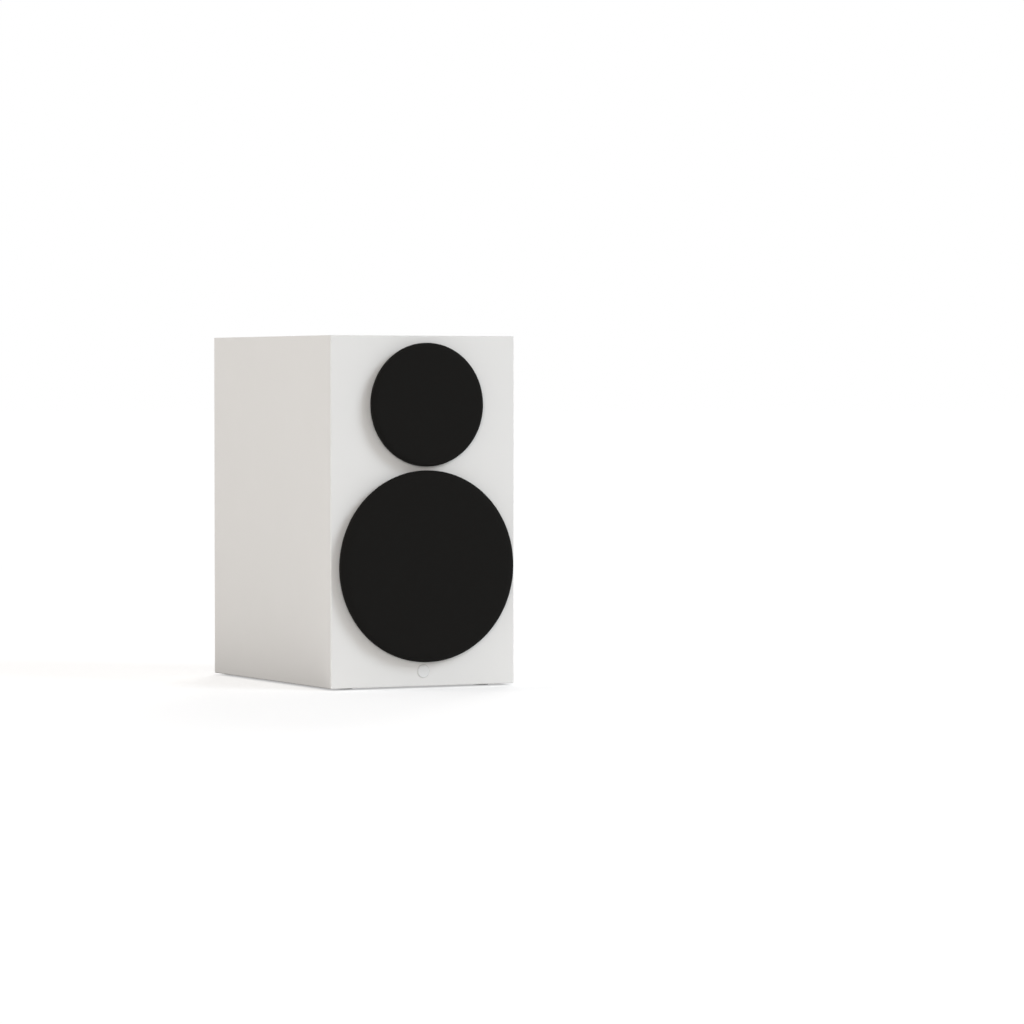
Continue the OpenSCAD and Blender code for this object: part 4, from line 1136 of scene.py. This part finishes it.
def build_inductors():
    bm = bmesh.new()
    for x, y, outer, inner, height in INDUCTORS:
        add_rings(bm, turned_rings(winding(inner, outer, height), at(BOARD, x, y), 128), closed=True)
    stands_for(new_object("crossover_inductors", bm, 60), "crossover_parts")


def build_capacitors():
    """Film capacitors in black sleeves, with the sleeve's rim proud of the filled ends."""
    bm = bmesh.new()
    for x, y, length, radius in CAPACITORS:
        axis = at(BOARD, x, y, radius) @ Matrix.Rotation(radians(-90), 4, "X")
        end = [(0, 0.7), (radius - 1.2, 0.7, 0.3), (radius - 0.9, 0, 0.3), (radius, 0, 0.7)]
        other = [(r, length - z, *corner) for r, z, *corner in reversed(end)]
        add_rings(bm, turned_rings(profile(*end, *other), axis, 96))
    stands_for(new_object("crossover_capacitors", bm), "crossover_parts", slot="moulded_black")


def build_resistors():
    """Cement resistors: long blocks with broken edges."""
    bm = bmesh.new()
    for x, y in RESISTORS:
        place = at(BOARD, x + RESISTOR_L / 2, y + RESISTOR_W / 2)
        levels = [(0.6, 0.1), (0, 0.7), (0, RESISTOR_W - 0.7), (0.6, RESISTOR_W)]
        rings = [round_rectangle(RESISTOR_L - 2 * k, RESISTOR_W - 2 * k, 1, z, 4) for k, z in levels]
        add_loft(bm, rings, place)
    stands_for(new_object("crossover_resistors", bm), "crossover_parts", slot="badge_plastic")


def build_part_leads():
    """Tinned leads that leave each capacitor and resistor at its ends and turn down to the board."""
    ends = []
    for x, y, length, radius in CAPACITORS:
        ends += [((x, y + 0.6, radius), (0, -1, 0)), ((x, y + length - 0.6, radius), (0, 1, 0))]
    for x, y in RESISTORS:
        middle = (y + RESISTOR_W / 2, RESISTOR_W / 2)
        ends += [((x + 0.1, *middle), (-1, 0, 0)), ((x + RESISTOR_L - 0.1, *middle), (1, 0, 0))]
    bm = bmesh.new()
    for start, way in ends:
        start, way = Vector(start), Vector(way)
        knee = start + LEAD_OUT * way
        route = [start, knee - 0.6 * way, knee - Vector((0, 0, 0.6)), Vector((knee.x, knee.y, 0.02))]
        tube(bm, smooth_path(route, 24), LEAD_R, BOARD, sides=12)
    stands_for(new_object("crossover_leads", bm), "crossover_parts", slot="zinc_steel")


def build_wires():
    """A red and a black lead from the posts to the board, and from the board to each driver."""
    landing = BOARD_TOP + 0.2
    joined = ("woofer_cone", "tweeter_dome", "terminal_cup")
    woofer_h, tweeter_h, cup_h = ((centre(node).z - CABINET_LOW.z) / MM for node in joined)
    for colour, slot, s in (("red", "wire_jacket", -1), ("black", "moulded_black", 1)):
        x = POST_X * s
        routes = [
            [(x, 215.7, cup_h), (x, 209, cup_h - 1), (x, 203, cup_h - 18), (x, 198, 40), (x, 196, landing)],
            [(-49.2, 36.6, woofer_h + 5 * s), (-52, 37, woofer_h + 5 * s), (-54 - 1.5 * s, 55, 88 + 2 * s),
             (-53 - 1.7 * s, 90, 55), (-48 - 1.8 * s, 116, 36), (-45 - 1.8 * s, 123.5, landing)],
            [(37.9, 20.6, tweeter_h + 4 * s), (42, 21, tweeter_h + 4 * s), (49 + 1.7 * s, 38, 226 + 3 * s),
             (48 + 1.7 * s, 82, 196 + s), (46 + 1.7 * s, 92, 170), (49 + 1.7 * s, 100, 110),
             (48 + 1.8 * s, 116, 50), (46 + 1.8 * s, 123.5, landing)],
        ]
        bm = bmesh.new()
        for route in routes:
            tube(bm, smooth_path(route, 110), WIRE_R, INSIDE)
        stands_for(new_object("hookup_wires_" + colour, bm), "hookup_wires", slot=slot)


def build_crossover():
    build_inductors()
    build_capacitors()
    build_resistors()
    build_part_leads()
    build_wires()


def dress_carried_over_nodes():
    """Gives each CAD node that still shows its record slot's surface."""
    for node, obj in frame["nodes"].items():
        if not obj.hide_render:
            obj.data.materials.clear()
            obj.data.materials.append(surface(SLOT_OF[node]))


# ---------------- camera, light and floor

YAW, PITCH_DOWN, LENS = 26.88, 1.59, 160.7
SIDEWAYS, AWAY, EYE_HEIGHT = -0.1536, 3.8685, 0.2592
WARM, COOL, WHITE = (1, 0.967, 0.938), (0.84, 0.92, 1), (1, 1, 1)
BACKDROP_LIGHT = 0.42
LIT_POINT = (0, 0, 0.15)
# Each lamp's place, width, power and colour
LAMPS = {
    "front_softbox": ((-2.2, -4.3, 0.5), 1.8, 82.5, WARM),
    "key": ((2.3, -3.1, 2.3), 2.1, 70.5, COOL),
    "left_softbox": ((-4.3, 1.6, 2.2), 2.1, 76, WARM),
    "rear_softbox": ((2.7, 4.1, 2.6), 2.1, 115, WHITE),
}
PALE = (0.62, 0.62, 0.62)
# The floor's own light near the speaker and far from it, and the metres over which it changes
NEAR_GLOW, FAR_GLOW, FADE = 0.45, 1.02, (0.7, 2.5)
# Cards on the floor that the camera doesn't see. A white one lifts the foot of the front, and a
# black one darkens the foot of the left side.
WHITE_CARD_W, BLACK_CARD_W = 0.2, 0.04
WHITE_CARD, BLACK_CARD = (0.82, 0.82, 0.82), (0.12, 0.12, 0.12)


def build_camera():
    """A long lens from the left of the drivers, a little above the middle of the cabinet."""
    right = Vector((cos(radians(YAW)), -sin(radians(YAW)), 0))
    forward = Vector((sin(radians(YAW)), cos(radians(YAW)), 0))
    near_edge = Vector((CABINET_LOW.x, FACE_Y, 0))
    camera = bpy.data.objects.new("camera", bpy.data.cameras.new("camera"))
    camera.location = near_edge - SIDEWAYS * right - AWAY * forward + Vector((0, 0, EYE_HEIGHT))
    camera.rotation_euler = (radians(90 - PITCH_DOWN), 0, radians(-YAW))
    camera.data.lens = LENS
    camera.data.sensor_width = 36
    camera.data.clip_end = 100
    bpy.context.scene.collection.objects.link(camera)
    bpy.context.scene.camera = camera


def area_light(name, place, width, power, color):
    light = bpy.data.lights.new(name, "AREA")
    light.size, light.energy, light.color = width, power, color
    obj = bpy.data.objects.new(name, light)
    obj.location = place
    obj.rotation_euler = (Vector(LIT_POINT) - Vector(place)).to_track_quat("-Z", "Y").to_euler()
    obj.visible_camera = False
    bpy.context.scene.collection.objects.link(obj)


def only_seen(tree, lit, seen):
    """The shader `seen` where the camera looks straight at it, and `lit` for the light that it gives."""
    path = tree.nodes.new("ShaderNodeLightPath")
    mix = tree.nodes.new("ShaderNodeMixShader")
    for value, socket in zip((path.outputs["Is Camera Ray"], lit, seen), mix.inputs):
        tree.links.new(value, socket)
    return mix.outputs[0]


def build_light():
    """A white backdrop all round, a key from the upper right that shades the grilles, and soft lamps."""
    world = bpy.data.worlds.new("studio")
    bpy.context.scene.world = world
    world.use_nodes = True
    tree = world.node_tree
    lit, seen = tree.nodes["Background"], tree.nodes.new("ShaderNodeBackground")
    for node, color, strength in ((lit, WARM, BACKDROP_LIGHT), (seen, WHITE, 1.0)):
        node.inputs["Color"].default_value = (*color, 1)
        node.inputs["Strength"].default_value = strength
    shown = only_seen(tree, lit.outputs[0], seen.outputs[0])
    tree.links.new(shown, tree.nodes["World Output"].inputs["Surface"])
    for name, (place, width, power, color) in LAMPS.items():
        area_light(name, place, width, power, color)


def build_floor():
    """A pale floor with a soft shadow round the speaker, that fades to the backdrop's white."""
    bm = bmesh.new()
    bmesh.ops.create_circle(bm, cap_ends=True, segments=96, radius=40)
    floor = new_object("floor", bm)
    s = Surface("pale_floor", 0.9, Specular_IOR_Level=0.0)
    spot = s.node("ShaderNodeSeparateXYZ", {"Vector": s.coords}).outputs
    in_front = s.within(spot[1], FACE_Y - WHITE_CARD_W, FACE_Y)
    beside = s.within(spot[0], CABINET_LOW.x - BLACK_CARD_W, CABINET_LOW.x)
    s.vary(in_front, s.mix(beside, PALE, BLACK_CARD), WHITE_CARD)
    pale = s.node("ShaderNodeBsdfDiffuse", {"Color": (0.7, 0.7, 0.7, 1)}).outputs[0]
    near_glow, far = (s.node("ShaderNodeEmission", {"Strength": g}).outputs[0] for g in (NEAR_GLOW, FAR_GLOW))
    near = s.node("ShaderNodeAddShader", {0: pale, 1: near_glow}).outputs[0]
    away = s.node("ShaderNodeVectorMath", {0: s.coords}, operation="LENGTH").outputs["Value"]
    fade = s.spread(away, *FADE, 0.0, 1.0)
    seen = s.node("ShaderNodeMixShader", {0: fade, 1: near, 2: far})
    whole = only_seen(s.tree, s.shader.outputs[0], seen.outputs[0])
    s.tree.links.new(whole, s.tree.nodes["Material Output"].inputs["Surface"])
    floor.data.materials.append(s.material)


# ---------------- scene

build_camera()
build_cabinet()
build_grilles()
build_woofer()
build_tweeter()
build_rear()
build_wadding("left")
build_wadding("right")
build_crossover()
dress_carried_over_nodes()
build_light()
build_floor()
bpy.context.scene.view_settings.view_transform = "Standard"
